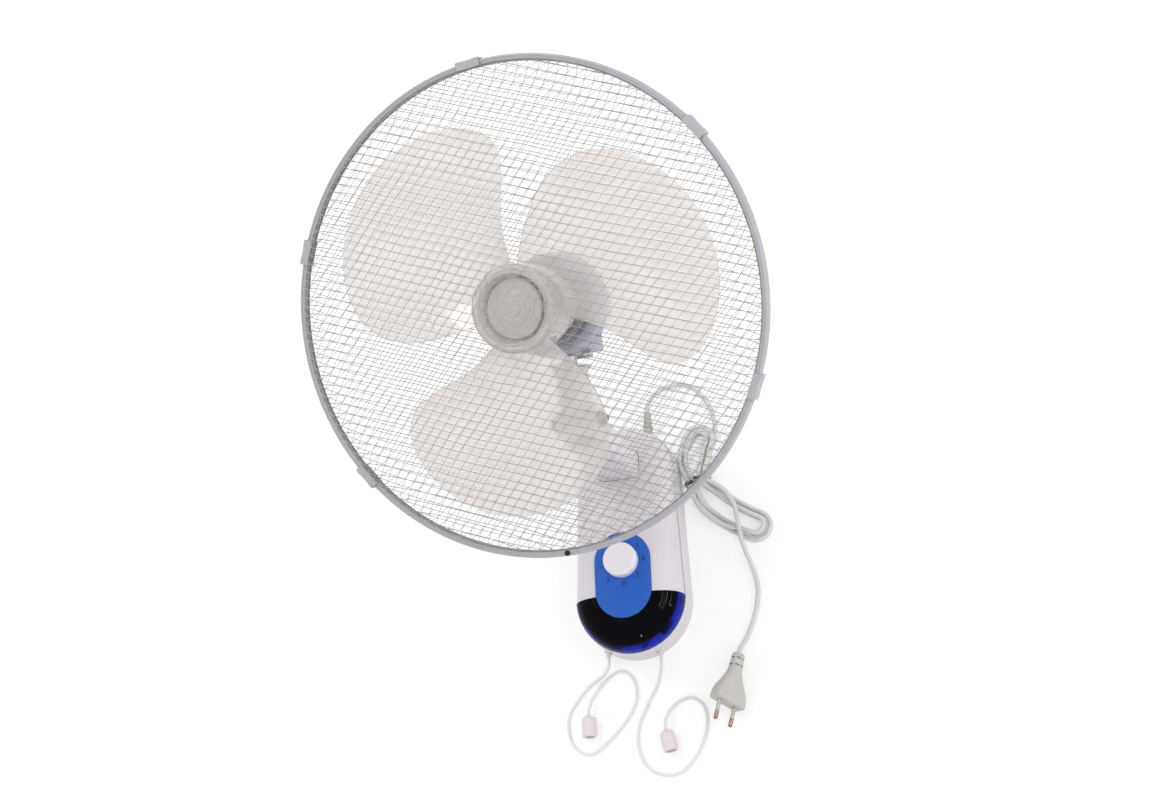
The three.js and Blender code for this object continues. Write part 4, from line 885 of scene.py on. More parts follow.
# %% Knob
KNOB_R, KNOB_TOP = 16.0, 64.2
knob = turned("knob_moulding", [
    (0, 61.1), (3.3, 61.1), (3.3, 55), (4.6, 55), (4.6, 60.4), (KNOB_R - 2.2, 60.4),
    (KNOB_R - 1.8, PANEL_TOP + GAP), (KNOB_R, PANEL_TOP + GAP), (KNOB_R, KNOB_TOP - 2.6),
    (KNOB_R - 0.9, KNOB_TOP - 0.7), (KNOB_R - 2.8, KNOB_TOP), (KNOB_R - 4.2, KNOB_TOP - 0.5),
    (6, KNOB_TOP - 0.8), (0, KNOB_TOP - 0.85)], 128, rounding=0.7)
knob = moved(knob, Matrix.Translation((0, KNOB_Y, 0)))
knob = settle(knob, AT_BASE, "knob_abs", "dial", ["speed_knob"])

# %% [markdown]
# ## Cord outlets and the back of the base
# Each pull cord leaves through a tapered bush. The back is a flat cover with a pocket for the steel bracket
# that is screwed to the wall; three screws hold cover, housing and arm together.

# %% Cord outlets
for side, x in OUTLETS.items():
    face = math.sqrt(LOW_HALF ** 2 - x ** 2) - LOW_Y
    bush = turned("outlet_bush_" + side, [
        (PULL_R + 0.4, 10 - face), (4.2, 10 - face), (4.2, -face - 0.4), (2.6, -face - 1.2),
        (2.3, -face - 4.5), (PULL_R + 0.4, -face - 4.5)], 48, rounding=0.3, axis="Y")
    settle(moved(bush, Matrix.Translation((x, 0, PULL_LIFT))), AT_BASE, "white_abs", "base",
           ["cord_outlet_" + side])

# %% Rear cover and bracket
BOSSES = [(38, 12), (-38, 12), (0, 85)]
HOOKS = [40, -40]
cover = lofted("rear_cover_moulding", [base_ring(2.8, 1, 0.3), base_ring(2.8, 1, 3.0)])
cover = round_edges(cover, 0.25, 1)
cover = join(cover, plate("pad", rounded_rectangle(-34, -69, 34, 97, 6), 1.0, 4.2))
tools = [plate("pocket", rounded_rectangle(-30.3, -65.3, 30.3, 65.3, 3), -2, 1.9)]
tools += [plate("slot", rounded_rectangle(-8.5, y - 3.5, 8.5, y + 3.5, 1.5), -2, 9) for y in HOOKS]
for x, y in BOSSES:
    tools += [rod("hole", 1.8, -1, 9, (x, y)), rod("sink", 3.8, -1, 2.2, (x, y))]
cover = settle(carve(cover, *tools), AT_BASE, "white_abs", "base", ["rear_cover"])

bracket = plate("bracket_sheet", rounded_rectangle(-30, -65, 30, 65, 4), 0, 1.6)
bracket = round_edges(bracket, 0.3, 2)
for y in HOOKS:
    bracket = join(bracket, block("hook", (-7.5, y - 2.2, 0.4), (7.5, y - 0.6, 7.4)))
bracket = carve(bracket, *[rod("hole", 2.6, -1, 3, c) for c in ((0, 55), (-20, -54), (20, -54))])
bracket = settle(bracket, AT_BASE, "zinc_steel", "base", ["wall_bracket"])
print("back of the base done")

# %% [markdown]
# ## Arm
# A hollow, closed column stands out of the base and ends in a fork. Two round ears hold the tilt pin.

# %% Arm with its fork
arm_outline = rounded_rectangle(-20, 63, 20, 90, 7)
arm_inside = rounded_rectangle(-17.5, 65.5, 17.5, 87.5, 4.5)
arm = round_edges(plate("arm_moulding", arm_outline, 4.5, 152), 1.2, 3)
arm = join(arm, plate("foot", rounded_rectangle(-24, 60, 24, 93, 3), 4.5, 8.5))
arm = carve(arm, plate("hollow", arm_inside, 8.5, 148))
for side in (-1, 1):
    x0, x1 = sorted((10.1 * side, 18.4 * side))
    ear = plate("ear", arc(13, 48, (0, 0), 0, 180) + [(-12.8, -30), (12.8, -30)], x0, x1)
    ear = round_edges(ear, 0.8, 2)
    ear = moved(ear, Matrix.Translation(TILT_PIN)
                @ Matrix(((0, 0, 1, 0), (1, 0, 0, 0), (0, 1, 0, 0), (0, 0, 0, 1))))
    arm = join(arm, ear)
arm = carve(arm, rod("bore", 4.3, -40, 40, TILT_PIN.yz, "X"),
            rod("seat", 13.7, -10.1, 10.1, TILT_PIN.yz, "X", 64),
            rod("screw_hole", 1.8, 0, 10, (0, 85)), block("cable_way", (-8, 84, 120), (8, 96, 132)),
            block("foot_way", (-14, 50, 8.5), (14, 70, 30)))
arm = settle(arm, AT_BASE, "white_abs", "base", ["support_arm"])

# %% Tilt bolt and nut
bolt = turned("tilt_bolt_steel", [(0, -24.5), (5, -24.5), (8, -22), (8, -18.8), (3.9, -18.8)]
              + [(3.9 - 0.45 * (k % 2), 19.5 + 0.5 * k) for k in range(13)]
              + [(3.2, 26), (2.4, 27), (0, 27)], 48, axis="X")
bolt = settle(moved(bolt, Matrix.Translation(TILT_PIN)), AT_BASE, "black_steel", "base",
              ["tilt_bolt"])
nut = plate("tilt_nut_steel", arc(7.4, 6), 18.8, 24.4)
nut = carve(round_edges(nut, 0.5, 2), rod("thread", 4.1, 10, 40))
nut = moved(nut, Matrix.Translation(TILT_PIN) @ Matrix.Rotation(90 * DEG, 4, "Y"))
nut = settle(nut, AT_BASE, "black_steel", "base", ["tilt_nut"])

# %% [markdown]
# ## Neck and swing link
# The neck grips the tilt pin with a round eye and holds the head's pin in its bore. Above it a thin steel
# link joins the neck to the crank of the swing drive.

# %% Neck
neck = rod("neck_moulding", 12.5, -9.7, 9.7, (0, 0), "X", 64)
neck = join(round_edges(neck, 0.6, 2),
            round_edges(block("web", (-9.7, 0, -11.5), (9.7, 18, 11.5)), 0.8, 2),
            turned("tube", [(0, 14), (13, 14), (15, 17), (15, 44.5), (18, 46), (18, 48.9), (17.4, 49.5),
                            (0, 49.5)], 64, axis="Y"),
            rod("lug", 2, 48, 54.1, (-14.5, 0), "Y"))
neck = carve(neck, rod("pin_bore", 4.3, -30, 30, (0, 0), "X"),
             rod("swing_bore", 5.4, 25, 60, (0, 0), "Y", 48))
neck = settle(neck, AT_NECK, "white_abs", "neck", ["neck"])

# %% [markdown]
# ## Motor shell
# The motor sits in a two-part shell: a shallow front dish with a spigot for the front bearing, and a
# tapered rear cup with the skirt of the swing drive under it. Raised ribs round the cup and a grid in its
# end let the motor breathe. The ribs repeat, so a small geometry-node tree sets copies of one rib round the
# axis.

# %% A tree that repeats a piece round the axis
def geometry_tree(title, inputs):
    """An empty tree with the named inputs, given as (name, kind, value), and one geometry output."""
    tree = bpy.data.node_groups.new(title, "GeometryNodeTree")
    sockets = {}
    for name, kind, value in inputs:
        socket = tree.interface.new_socket(name=name, in_out="INPUT", socket_type="NodeSocket" + kind)
        if value is not None:
            socket.default_value = value
        sockets[name] = socket.identifier
    tree.interface.new_socket(name="Geometry", in_out="OUTPUT", socket_type="NodeSocketGeometry")
    return tree, sockets, add_node(tree, "NodeGroupInput").outputs


def close_tree(tree, geometry, material):
    real = add_node(tree, "GeometryNodeRealizeInstances", {"Geometry": geometry})
    painted = add_node(tree, "GeometryNodeSetMaterial", {"Geometry": real.outputs[0], "Material": material})
    add_node(tree, "NodeGroupOutput", {"Geometry": painted.outputs[0]})


def ring_of_copies():
    tree, sockets, given = geometry_tree("copies round the axis", [
        ("Geometry", "Geometry", None), ("Count", "Int", 3), ("First angle", "Float", 0.0),
        ("Material", "Material", None)])
    line = add_node(tree, "GeometryNodeMeshLine", {"Count": given["Count"], "Offset": (0, 0, 0)})
    index = add_node(tree, "GeometryNodeInputIndex")
    step = add_node(tree, "ShaderNodeMath", {0: 2 * math.pi, 1: given["Count"]}, operation="DIVIDE")
    angle = add_node(tree, "ShaderNodeMath", {
        0: index.outputs[0], 1: step.outputs[0], 2: given["First angle"]}, operation="MULTIPLY_ADD")
    turn = add_node(tree, "ShaderNodeCombineXYZ", {"Z": angle.outputs[0]})
    copies = add_node(tree, "GeometryNodeInstanceOnPoints", {
        "Points": line.outputs[0], "Instance": given["Geometry"], "Rotation": turn.outputs[0]})
    close_tree(tree, copies.outputs[0], given["Material"])
    return tree, sockets


COPIES, COPIES_SOCKETS = ring_of_copies()


def copied_round(piece, count, first, material):
    modifier = piece.modifiers.new("copies", "NODES")
    modifier.node_group = COPIES
    modifier[COPIES_SOCKETS["Count"]] = count
    modifier[COPIES_SOCKETS["First angle"]] = first
    modifier[COPIES_SOCKETS["Material"]] = MATERIALS[material]
    return apply_modifiers(piece)


print("tree:", COPIES.name, "with", len(COPIES.nodes), "nodes")

# %% Motor shell, front and rear
MOTOR_R = 46
front_shell = turned("motor_front_moulding", [
    (MOTOR_R, -70), (MOTOR_R, -57), (44, -52.5), (40, -50), (16.2, -50), (16.2, -41), (5.2, -41),
    (5.2, -43.4), (9.3, -43.4), (9.3, -58), (12, -58), (12, -52.5), (39, -52.5), (42, -54.5), (43.5, -58),
    (43.5, -70)],
    128, rounding=1.2)
front_ribs = copied_round(block("motor_front_ribs", (20, -0.7, -50.2), (40, 0.7, -49)), 24, 0.0,
                          "motor_abs")
front_shell = settle(front_shell, AT_HEAD, "motor_abs", "head", ["motor_front_housing"])
settle(front_ribs, AT_HEAD, "motor_abs", "head")

CUP = [(MOTOR_R, -70.4), (MOTOR_R, -80), (43, -88.6), (36, -106), (32.6, -120), (28.5, -131), (20, -137),
       (8, -138), (0, -138)]
cup = turned("motor_rear_moulding",
             CUP + [(0, -135.5), (8, -135.4), (19, -134.4), (26.3, -129), (30.1, -119), (33.5, -105),
                    (40.5, -88), (43.5, -79.6), (43.5, -70.4)], 128, rounding=1.5)
skirt = round_edges(block("skirt", (-17, -47.2, -127), (17, -30, -92)), 2.0, 3)
skirt = carve(skirt, block("room", (-15, -60, -125), (15, -20, -94)))
cup = carve(cup, block("drive_room", (-15, -60, -125), (15, -26, -94)))
cup = join(cup, carve(skirt, turned("cup_inside", [
    (0, -134), (19, -134), (26.3, -129), (30.1, -119), (33.5, -105), (40.5, -88), (43.5, -79.6), (43.5, -60),
    (0, -60)], 96)))
cup = join(cup, rod("boss", 11, -47, -38.8, (0, -82), "Y", 48))
cup = carve(cup, rod("pin_hole", 5.3, -60, -30, (0, -82), "Y"))
cup = carve(cup, *[block("vent", (x - 1.1, -math.sqrt(324 - x * x), -141),
                         (x + 1.1, math.sqrt(324 - x * x), -130))
                   for x in (-12, -6, 0, 6, 12)])
rib = lofted("motor_rear_ribs",
             [[(r + 0.9, -0.8, z), (r + 0.9, 0.8, z), (r - 0.6, 0.8, z), (r - 0.6, -0.8, z)]
                                 for r, z in ((45.8, -72.5), (45.8, -79.5), (42.7, -88.6), (36.4, -104))])
rear_ribs = copied_round(rib, 30, 3 * DEG, "motor_abs")
cup = settle(cup, AT_HEAD, "motor_abs", "head", ["motor_rear_housing"], sharp=28 * DEG)
settle(rear_ribs, AT_HEAD, "motor_abs", "head")
print("motor shell:", len(front_shell.data.polygons), "+", len(cup.data.polygons), "faces")

# %% [markdown]
# ## Blades
# Three wide blades share one hub. Each is part of a screw surface, so its height grows evenly with the
# angle; its outline is a table of the two edges' angles at each radius. One blade is drawn, given a
# thickness and rounded edges, and the same tree sets three of them round the hub.

# %% One blade
BLADE_EDGES = [(36, -44, 51), (55, -44.5, 49.8), (68, -45.2, 48.6), (80, -47, 47.4), (95, -49.4, 45.8),
               (110, -51.5, 43), (122, -52.4, 40.3), (135, -52.4, 36.5), (148, -50.3, 30.8),
               (158, -46.5, 24.5), (166, -41, 17.5), (172, -34.5, 10), (176.5, -27, 3), (179.3, -19, -5),
               (180.3, -14, -10.5)]
BLADE_FIRST, BLADE_LEVEL, BLADE_LEAD, BLADE_HALF = 24, 16.3, 0.29, 1.1


def blade_edge(radius):
    """The angles of the two edges at a radius, on a smooth curve through the table."""
    table = BLADE_EDGES
    k = max(i for i in range(len(table) - 1) if table[i][0] <= radius + 1e-9)
    (r1, *e1), (r2, *e2) = table[k], table[k + 1]
    (r0, *e0), (r3, *e3) = table[max(k - 1, 0)], table[min(k + 2, len(table) - 1)]
    t = (radius - r1) / (r2 - r1)
    out = []
    for c in (0, 1):
        m1 = (e2[c] - e0[c]) / max(r2 - r0, 1e-6) * (r2 - r1)
        m2 = (e3[c] - e1[c]) / max(r3 - r1, 1e-6) * (r2 - r1)
        out.append(e1[c] * (2 * t ** 3 - 3 * t ** 2 + 1) + m1 * (t ** 3 - 2 * t ** 2 + t)
                   + e2[c] * (3 * t ** 2 - 2 * t ** 3) + m2 * (t ** 3 - t ** 2))
    return out


def blade_surface(radius, angle, side):
    thin = 0.55 + 0.45 * (1 - (radius / 184) ** 4)
    height = BLADE_LEVEL + BLADE_LEAD * angle + side * BLADE_HALF * thin
    return (radius * math.cos(angle * DEG), radius * math.sin(angle * DEG), height)


def one_blade():
    root, tip = BLADE_EDGES[0][0], BLADE_EDGES[-1][0]
    across, radii = 28, [root + (tip - root) * math.sin(i / 36 * math.pi / 2) ** 0.9 for i in range(37)]
    rings = []
    for radius in radii:
        low, high = blade_edge(radius)
        angles = [low + (high - low) * (1 - math.cos(math.pi * j / across)) / 2 for j in range(across + 1)]
        inner = angles[1:-1]
        ring = [blade_surface(radius, a, 1) for a in inner] + [blade_surface(radius, angles[-1], 0)]
        ring += ([blade_surface(radius, a, -1) for a in reversed(inner)]
                 + [blade_surface(radius, angles[0], 0)])
        rings.append(ring)
    return lofted("blades", rings)


blades = copied_round(one_blade(), 3, BLADE_FIRST * DEG, "milky_blade_resin")
print("three blades:", len(blades.data.polygons), "faces")

# %% Hub and blade nut
HUB_R, HUB_BACK, HUB_FRONT, HUB_SEAT, SEAT_R = 38, -10, 33, 20, 27
hub = turned("hub", [
    (HUB_R, HUB_BACK), (HUB_R, HUB_FRONT - 2), (HUB_R - 2, HUB_FRONT), (33.5, HUB_FRONT),
    (33.1, HUB_FRONT - 0.6), (31.6, HUB_FRONT - 0.6), (31.2, HUB_FRONT), (30, HUB_FRONT),
    (SEAT_R, HUB_SEAT), (4.4, HUB_SEAT), (4.4, HUB_BACK + 4), (9, HUB_BACK + 4), (9, HUB_SEAT - 3),
    (29, HUB_SEAT - 3), (32.2, HUB_FRONT - 3), (35.4, HUB_FRONT - 3), (35.4, HUB_BACK)], 144, rounding=0.6)
blades = carve(blades, rod("hub_room", 35.6, -60, 60, steps=144))
fan_blade = join(hub, blades)
fan_blade.name = "blade_moulding"
fan_blade = settle(fan_blade, AT_HEAD, "milky_blade_resin", "rotor", ["fan_blade"],
                   sharp=45 * DEG)

cap = turned("blade_nut_moulding", [
    (4.4, 20.6), (25.2, 20.6), (25.9, 26.4), (24.8, 28), (18.4, 28.5), (18, 29.1), (15.4, 29.4), (15, 30),
    (11.8, 30.4), (11.4, 31), (7.6, 31.3), (7.2, 31.7), (0, 31.8), (0, 24.6), (4.4, 24.6)], 128,
             rounding=0.35)
grips = copied_round(rod("grip", 1.2, 20.9, 25.6, (25.0, 0), steps=16), 18, 0.0, "milky_blade_resin")
cap = join(cap, grips)
cap = settle(cap, AT_HEAD, "milky_blade_resin", "rotor", ["blade_nut"], sharp=35 * DEG)
print("hub and nut:", len(fan_blade.data.polygons), "+", len(cap.data.polygons), "faces")

# %% [markdown]
# ## Wire guard
# Front and rear guards are pressed from a welded mesh: two families of parallel wires, 7.5 mm apart, that
# cross at about 65 degrees. Pressing bows them into a dome and leaves them a little wavy. The tree lays
# straight wires, spreads their points towards the rim, lets them wander, and lifts them to the dome by its
# formula. A round step is stamped into the front guard round the hub; at the rear, the wires go round the
# opening for the motor. One modifier makes one family; the cross wires are a little thinner.

# %% Tree for one family of wires
NET_INPUTS = [
    ("Geometry", "Geometry", None), ("Wires", "Int", 55), ("Stations", "Int", 60),
    ("Radius", "Float", 0.206), ("Pitch", "Float", 0.0075), ("Angle", "Float", 0.0),
    ("Rise", "Float", 0.05), ("Lift", "Float", 0.004), ("Step height", "Float", 0.0),
    ("Step radius", "Float", 0.061), ("Hole radius", "Float", 0.0), ("Wire radius", "Float", 0.0005),
    ("Wander", "Float", 0.0015), ("Seed", "Float", 1.0), ("Material", "Material", None)]
DOME_POWER, DOME_ROUND, STEP_EDGE = 3.0, 0.55, 0.0012
WANDER_SCALE, WIRE_SIDES = 22.0, 5


def wire_family():
    tree, sockets, given = geometry_tree("one family of guard wires", NET_INPUTS)

    def math_node(operation, a, b=0.0, c=0.0, clamp=False):
        return add_node(tree, "ShaderNodeMath", {0: a, 1: b, 2: c}, operation=operation,
                        use_clamp=clamp).outputs[0]

    def times(a, b):
        return math_node("MULTIPLY", a, b)

    def less(a, b):
        return math_node("SUBTRACT", a, b)

    def point(**parts):
        return add_node(tree, "ShaderNodeCombineXYZ", parts).outputs[0]

    def length(vector):
        return add_node(tree, "ShaderNodeVectorMath", {0: vector}, operation="LENGTH").outputs["Value"]

    def coordinates():
        place = add_node(tree, "GeometryNodeInputPosition").outputs[0]
        return place, add_node(tree, "ShaderNodeSeparateXYZ", {0: place}).outputs

    def put(geometry, **given_sockets):
        return add_node(tree, "GeometryNodeSetPosition", {"Geometry": geometry, **given_sockets}).outputs[0]

    def half_chord(y):
        square = less(times(given["Radius"], given["Radius"]), times(y, y))
        return math_node("SQRT", math_node("MAXIMUM", square, 1e-6))

    # straight wires side by side, each as long as the circle allows
    reach = times(less(given["Wires"], 1.0), 0.5)
    rows = add_node(tree, "GeometryNodeMeshLine", {
        "Count": given["Wires"], "Start Location": point(Y=times(times(reach, given["Pitch"]), -1.0)),
        "Offset": point(Y=given["Pitch"])})
    straight = add_node(tree, "GeometryNodeCurvePrimitiveLine", {"Start": (-1, 0, 0), "End": (1, 0, 0)})
    stationed = add_node(tree, "GeometryNodeResampleCurve", {
        "Curve": straight.outputs[0], "Count": given["Stations"]})
    row = coordinates()[1]
    laid = add_node(tree, "GeometryNodeInstanceOnPoints", {
        "Points": rows.outputs[0], "Instance": stationed.outputs[0],
        "Scale": point(X=half_chord(row["Y"]), Y=1.0, Z=1.0)})
    wires = add_node(tree, "GeometryNodeRealizeInstances", {"Geometry": laid.outputs[0]}).outputs[0]

    # more stations near the rim, where the dome is steep
    at = coordinates()[1]
    half = half_chord(at["Y"])
    share = math_node("DIVIDE", at["X"], half)
    wave = times(math_node("SINE", times(share, math.pi / 2)), 0.5)
    spread = times(half, math_node("MULTIPLY_ADD", share, 0.5, wave))
    wires = put(wires, Position=point(X=spread, Y=at["Y"]))

    # the wander of pressed mesh, nothing at the rim
    place, at = coordinates()
    fade = less(1.0, math_node("POWER", math_node("DIVIDE", length(place), given["Radius"]), 6.0))
    field = add_node(tree, "ShaderNodeTexNoise", {
        "Vector": place, "W": given["Seed"], "Scale": WANDER_SCALE, "Detail": 2.0}, noise_dimensions="4D")
    centred = add_node(tree, "ShaderNodeVectorMath", {
        0: field.outputs["Color"], 1: (0.5, 0.5, 0.5)}, operation="SUBTRACT")
    drift = add_node(tree, "ShaderNodeVectorMath", {
        0: centred.outputs[0], "Scale": times(times(fade, 2.0), given["Wander"])}, operation="SCALE")
    wires = put(wires, Offset=drift.outputs[0])

    # round the opening for the motor
    at = coordinates()[1]
    inside = math_node("LESS_THAN", length(point(X=at["X"], Y=at["Y"])), given["Hole radius"])
    room = less(times(given["Hole radius"], given["Hole radius"]), times(at["X"], at["X"]))
    around = times(math_node("SQRT", math_node("MAXIMUM", room, 0.0)),
                   math_node("SIGN", math_node("ADD", at["Y"], 1e-6)))
    wires = put(wires, Selection=inside, Position=point(X=at["X"], Y=around))

    # up to the dome, with the stamped step
    at = coordinates()[1]
    radius = length(point(X=at["X"], Y=at["Y"]))
    cube = math_node("POWER", math_node("DIVIDE", radius, given["Radius"]), DOME_POWER)
    dome = math_node("POWER", math_node("SUBTRACT", 1.0, cube, clamp=True), DOME_ROUND)
    within = add_node(tree, "ShaderNodeMapRange", {
        "Value": less(given["Step radius"], radius), "From Min": -STEP_EDGE, "From Max": STEP_EDGE},
        interpolation_type="SMOOTHSTEP").outputs[0]
    height = math_node("MULTIPLY_ADD", dome, given["Rise"],
                       math_node("MULTIPLY_ADD", within, given["Step height"], given["Lift"]))
    wires = put(wires, Position=point(X=at["X"], Y=at["Y"], Z=height))

    # give the wires their thickness and turn the family to its angle
    section = add_node(tree, "GeometryNodeCurvePrimitiveCircle", {
        "Resolution": WIRE_SIDES, "Radius": given["Wire radius"]})
    tubes = add_node(tree, "GeometryNodeCurveToMesh", {
        "Curve": wires, "Profile Curve": section.outputs[0], "Fill Caps": True}).outputs[0]
    turned_family = add_node(tree, "GeometryNodeTransform", {
        "Geometry": tubes, "Rotation": point(Z=given["Angle"])})
    together = add_node(tree, "GeometryNodeJoinGeometry")
    tree.links.new(given["Geometry"], together.inputs[0])
    tree.links.new(turned_family.outputs[0], together.inputs[0])
    close_tree(tree, together.outputs[0], given["Material"])
    return tree, sockets


FAMILY, FAMILY_SOCKETS = wire_family()
print("tree:", FAMILY.name, "with", len(FAMILY.nodes), "nodes")

# %% Front and rear guard
NET_R, WIRE_R, CROSS_R, WANDER = 210.2, 0.31, 0.23, 1.7


def guard_net(name, rise, lift, families, stations, rim, step=0.0, hole=0.0):
    low, high = rim
    band = turned(name, [(NET_R - 0.4, low), (NET_R + 0.5, low), (NET_R + 0.5, high), (NET_R - 0.4, high)],
                  180, rounding=0.2)
    band.data.transform(MILLIMETRES)
    for k, (angle, pitch, seed) in enumerate(families):
        values = {
            "Wires": 2 * int(NET_R / pitch) + 1, "Stations": stations, "Radius": NET_R * MM,
            "Pitch": pitch * MM, "Angle": angle * DEG, "Rise": rise * MM,
            "Lift": (lift - math.copysign(0.5 * k, lift)) * MM, "Step height": step * MM,
            "Hole radius": hole * MM, "Wander": WANDER * MM, "Wire radius": (CROSS_R if k else WIRE_R) * MM,
            "Seed": seed, "Material": MATERIALS["painted_steel_wire"]}
        modifier = band.modifiers.new("family %d" % k, "NODES")
        modifier.node_group = FAMILY
        for key, value in values.items():
            modifier[FAMILY_SOCKETS[key]] = value
    apply_modifiers(band)
    band.data.transform(Matrix.Scale(1 / MM, 4))
    return band


front_net = guard_net("front_guard_net", 60, 2, [(-19.5, 7.4, 1.0), (45.0, 7.9, 2.0)], 120, (1.3, 2.7),
                      step=3.6)
front_net = settle(front_net, AT_HEAD, "painted_steel_wire", "head", ["front_grille"])
rear_net = guard_net("rear_guard_net", -46, -2, [(-21.0, 7.4, 3.0), (46.5, 7.9, 4.0)], 70, (-2.7, -1.3),
                     hole=33.0)
rear_net = settle(rear_net, AT_HEAD, "painted_steel_wire", "head", ["rear_grille"])
print("guard nets:", len(front_net.data.polygons), "+", len(rear_net.data.polygons), "faces")

# %% Plate and nut in the middle of the rear guard
PLATE_Z, GUARD_BORE = -48, 16.6
centre_plate = turned("rear_guard_plate",
                      [(GUARD_BORE, PLATE_Z - 1), (35.2, PLATE_Z - 1), (36, PLATE_Z),
                       (35.2, PLATE_Z + 1), (GUARD_BORE, PLATE_Z + 1)], 120, rounding=0.3)
settle(centre_plate, AT_HEAD, "zinc_steel", "head")
grille_nut = turned("guard_nut_moulding", [
    (GUARD_BORE, -46.3), (29, -46.3), (28.6, -44.6), (26.6, -41.2), (25.4, -40.6), (GUARD_BORE, -40.6)],
                    120, rounding=0.6)
nut_grips = copied_round(rod("grip", 1.7, -46.1, -42.2, (27.6, 0), steps=20), 24, 0.0, "white_abs")
grille_nut = settle(join(grille_nut, nut_grips), AT_HEAD, "white_abs", "head",
                    ["grille_nut"])

# %% [markdown]
# ## Guard ring
# A plastic ring holds the rims of the two guards together. From the front it shows a flat flange with a low
# step. Its inside is closed here, as the rims fill the real channel. Five clips keep it shut and a small
# screw with its nut draws its ends together at the bottom.

# %% Ring
RING_OUT, RING_IN, RING_HALF = 216.0, 210.8, 4.8
ring = turned("guard_ring_moulding", [
    (RING_OUT - 1, -RING_HALF), (RING_OUT, -RING_HALF + 1.5), (RING_OUT, RING_HALF - 1.5),
    (RING_OUT - 1.2, RING_HALF), (RING_OUT - 2.2, RING_HALF - 0.2), (RING_OUT - 2.6, RING_HALF - 0.6),
    (RING_IN + 1, RING_HALF - 0.6), (RING_IN, RING_HALF - 1.4), (RING_IN, -RING_HALF + 1.2),
    (RING_IN + 1, -RING_HALF)], 240, rounding=0.5)
AT_SCREW, SCREW_R = Matrix.Rotation(-88.5 * DEG, 4, "Z"), 213.3
ring = carve(ring, moved(rod("bolt_hole", 1.8, -20, 20, (SCREW_R, 0)), AT_SCREW))
ring = settle(ring, AT_HEAD, "ring_polypropylene", "head", ["guard_ring"])

# %% Clips
for k, angle in enumerate((-26, 36, 95, 158.5, 216)):
    outline = [(210.4, -6.1), (217.2, -6.2), (217.9, -5.4), (217.9, 5.4), (217.2, 6.2), (210.4, 6.1),
               (210.2, 5.1), (216.3, 5.0), (216.3, -5.0), (210.2, -5.1)]
    sections = []
    for y in (-11, -10.4, -5.2, -4.9, 4.9, 5.2, 10.4, 11):
        pinch = 0.5 if abs(y) > 10.9 else (0.35 if abs(y) < 5 else 0.0)
        sections.append([(x - (pinch if x > 216 else 0), y, z) for x, z in outline])
    clip = lofted("ring_clip_moulding_%d" % (k + 1), sections)
    clip = settle(moved(clip, Matrix.Rotation(angle * DEG, 4, "Z")), AT_HEAD, "ring_polypropylene", "head",
                  ["ring_clip_%d" % (k + 1)], sharp=25 * DEG)

# %% Ring screw and nut
screw = turned("ring_screw_steel", [
    (0, -8.6), (1.3, -8.6), (1.5, -8.2), (1.5, 4.9), (2.5, 4.9), (2.4, 5.7), (1.9, 6.3), (0, 6.5)], 40)
screw = carve(screw, block("slot", (-4, -0.35, 5.8), (4, 0.35, 8)))
screw = moved(screw, AT_SCREW @ Matrix.Translation((SCREW_R, 0, 0)))
settle(screw, AT_HEAD, "black_steel", "head", ["ring_screw"])
ring_nut = carve(round_edges(plate("ring_nut_steel", arc(2.8, 6), -7.4, -5.0), 0.3, 2),
                 rod("thread", 1.7, -20, 0))
settle(moved(ring_nut, AT_SCREW @ Matrix.Translation((SCREW_R, 0, 0))), AT_HEAD, "black_steel", "head",
       ["ring_nut"])
print("ring closed by 5 clips and a screw")

# %% [markdown]
# ## Pieces that keep their CAD shape
# What hides inside the base and the motor has its right shape already. Each of those nodes gets the
# material of the real piece in its material slot; its mesh is left alone.

# %% Materials of the CAD nodes
CAD_FINISHES = {
    "zinc_steel": ["base_screw_1", "base_screw_2", "base_screw_3", "link", "swivel_pin",
                   "oscillation_motor", "rotor_shaft"],
    "core_steel": ["stator_core", "rotor_core"],
    "enamelled_copper": ["stator_winding"],
    "sintered_bronze": ["bearing_front", "bearing_rear"],
    "dark_nylon": ["rotary_switch", "capacitor", "pull_switch_left", "pull_switch_right"],
    "plug_pvc": ["terminal_block", "switch_shaft", "crank"],
    "white_abs": ["lamp_reflector"],
    "lamp_glass": ["lamp_bulb"],
}
for finish_name, names in CAD_FINISHES.items():
    for name in names:
        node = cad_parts[name]
        for slot in node.material_slots:
            slot.material = MATERIALS[finish_name]
print("CAD nodes with a new finish:", sum(len(n) for n in CAD_FINISHES.values()))

# %% [markdown]
# ## Floor and light
# The floor is white paper. To the camera it also glows a little, as a page does, so it stays white and
# keeps only a soft shadow near the fan; the light on the fan itself is not raised for that. A wide key
# light comes from the upper left, and three small ones at the right and the lower end put the short streaks
# on the lens.

# %% Floor
PAPER_GLOW, FLOOR_HALF, FLOOR_Z = 0.52, 4, -0.0003


def seen_by(tree, rays):
    """One for the given kinds of ray and nothing for the others."""
    path = add_node(tree, "ShaderNodeLightPath").outputs
    seen = path[rays[0]]
    for ray in rays[1:]:
        seen = add_node(tree, "ShaderNodeMath", {0: seen, 1: path[ray]}, operation="MAXIMUM").outputs[0]
    return seen


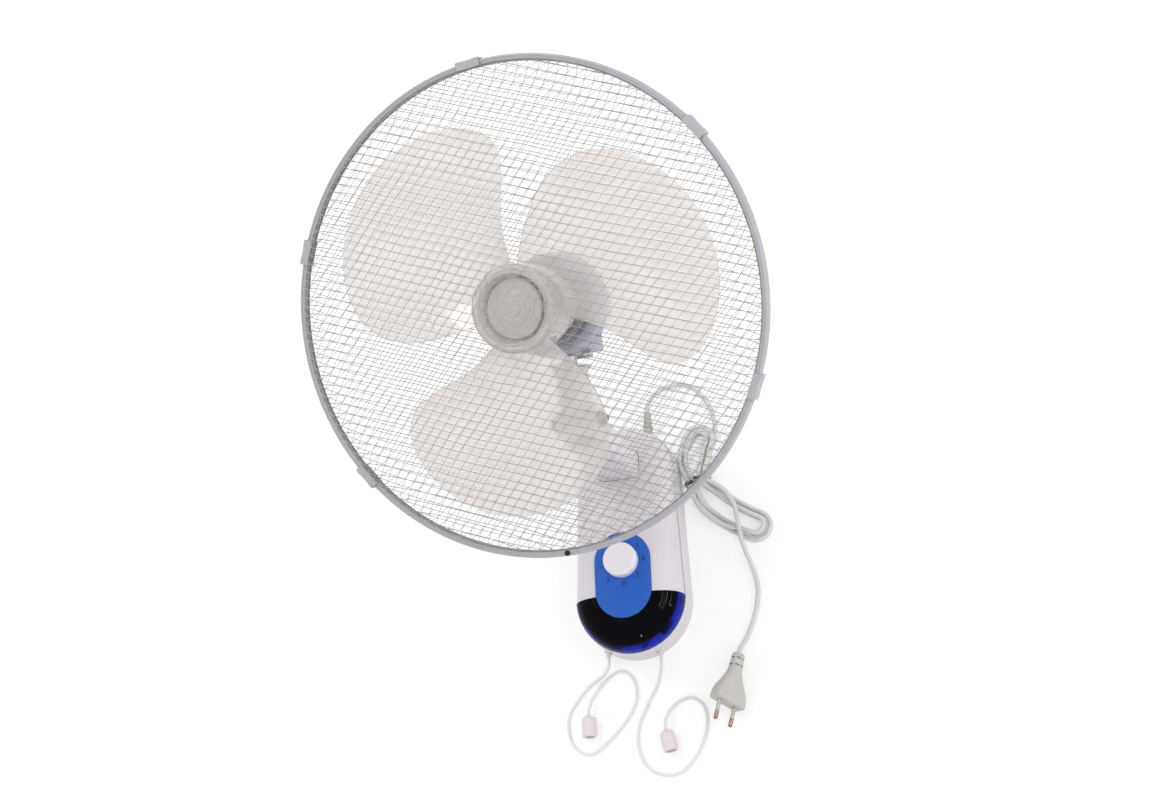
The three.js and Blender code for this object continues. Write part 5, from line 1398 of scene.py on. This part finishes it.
def white_paper():
    material, tree = new_material("white_paper_floor")
    tone = toned(tree, noise(tree, object_place(tree), 2.5, 2), "#f4f4f3", "#fbfbfa")
    seen = seen_by(tree, ("Is Camera Ray", "Is Glossy Ray", "Is Transmission Ray"))
    paper = add_node(tree, "ShaderNodeBsdfDiffuse", {"Color": tone})
    glow = add_node(tree, "ShaderNodeEmission", {"Color": (1, 1, 1, 1), "Strength": 1.0})
    share = add_node(tree, "ShaderNodeMath", {0: seen, 1: PAPER_GLOW}, operation="MULTIPLY")
    mixed = add_node(tree, "ShaderNodeMixShader",
                     {0: share.outputs[0], 1: paper.outputs[0], 2: glow.outputs[0]})
    add_node(tree, "ShaderNodeOutputMaterial", {"Surface": mixed.outputs[0]})
    return material


corners = [(-1, -1), (1, -1), (1, 1), (-1, 1)]
floor = object_from("floor", [(x * FLOOR_HALF, y * FLOOR_HALF, FLOOR_Z) for x, y in corners],
                    [(0, 1, 2, 3)])
if floor.data.polygons[0].normal.z < 0:
    floor.data.flip_normals()
floor.data.materials.append(white_paper())

# %% World and lamps
world = bpy.data.worlds.new("studio")
bpy.context.scene.world = world
world.use_nodes = True
sky = world.node_tree
sky.nodes.clear()
AMBIENT = 0.96
sky_strength = add_node(sky, "ShaderNodeMapRange", {
    "Value": seen_by(sky, ("Is Camera Ray", "Is Transmission Ray")), "To Min": AMBIENT, "To Max": 1.0})
sky_light = add_node(sky, "ShaderNodeBackground",
                     {"Color": linear("#fbfcff"), "Strength": sky_strength.outputs[0]})
add_node(sky, "ShaderNodeOutputWorld", {"Surface": sky_light.outputs[0]})


def lamp(name, place, target, size, watts, height=None):
    light = bpy.data.lights.new(name, "AREA")
    light.shape = "RECTANGLE"
    light.size, light.size_y, light.energy = size, height or size, watts
    holder = bpy.data.objects.new(name, light)
    place, target = Vector(place), Vector(target)
    turn = (place - target).to_track_quat("Z", "Y").to_matrix().to_4x4()
    holder.matrix_world = Matrix.Translation(place) @ turn
    bpy.context.scene.collection.objects.link(holder)
    return holder


MIDDLE = (0.0, 0.05, 0.1)
lamp("key", (-1.1, 1.3, 2.1), MIDDLE, 1.3, 27)
LENS_RIGHT = (0.04, -0.055, 0.046)
lamp("streak_near", (0.534, -0.037, 0.798), LENS_RIGHT, 0.4, 1.0, 0.012)
lamp("streak_far", (0.84, -0.01, 0.47), LENS_RIGHT, 0.4, 1.0, 0.012)
lamp("streak_low", (0.094, -0.83, 0.546), (0.013, -0.086, 0.046), 0.03, 0.3)
bpy.context.scene.view_settings.view_transform = "Standard"
print("stage and lamps ready")
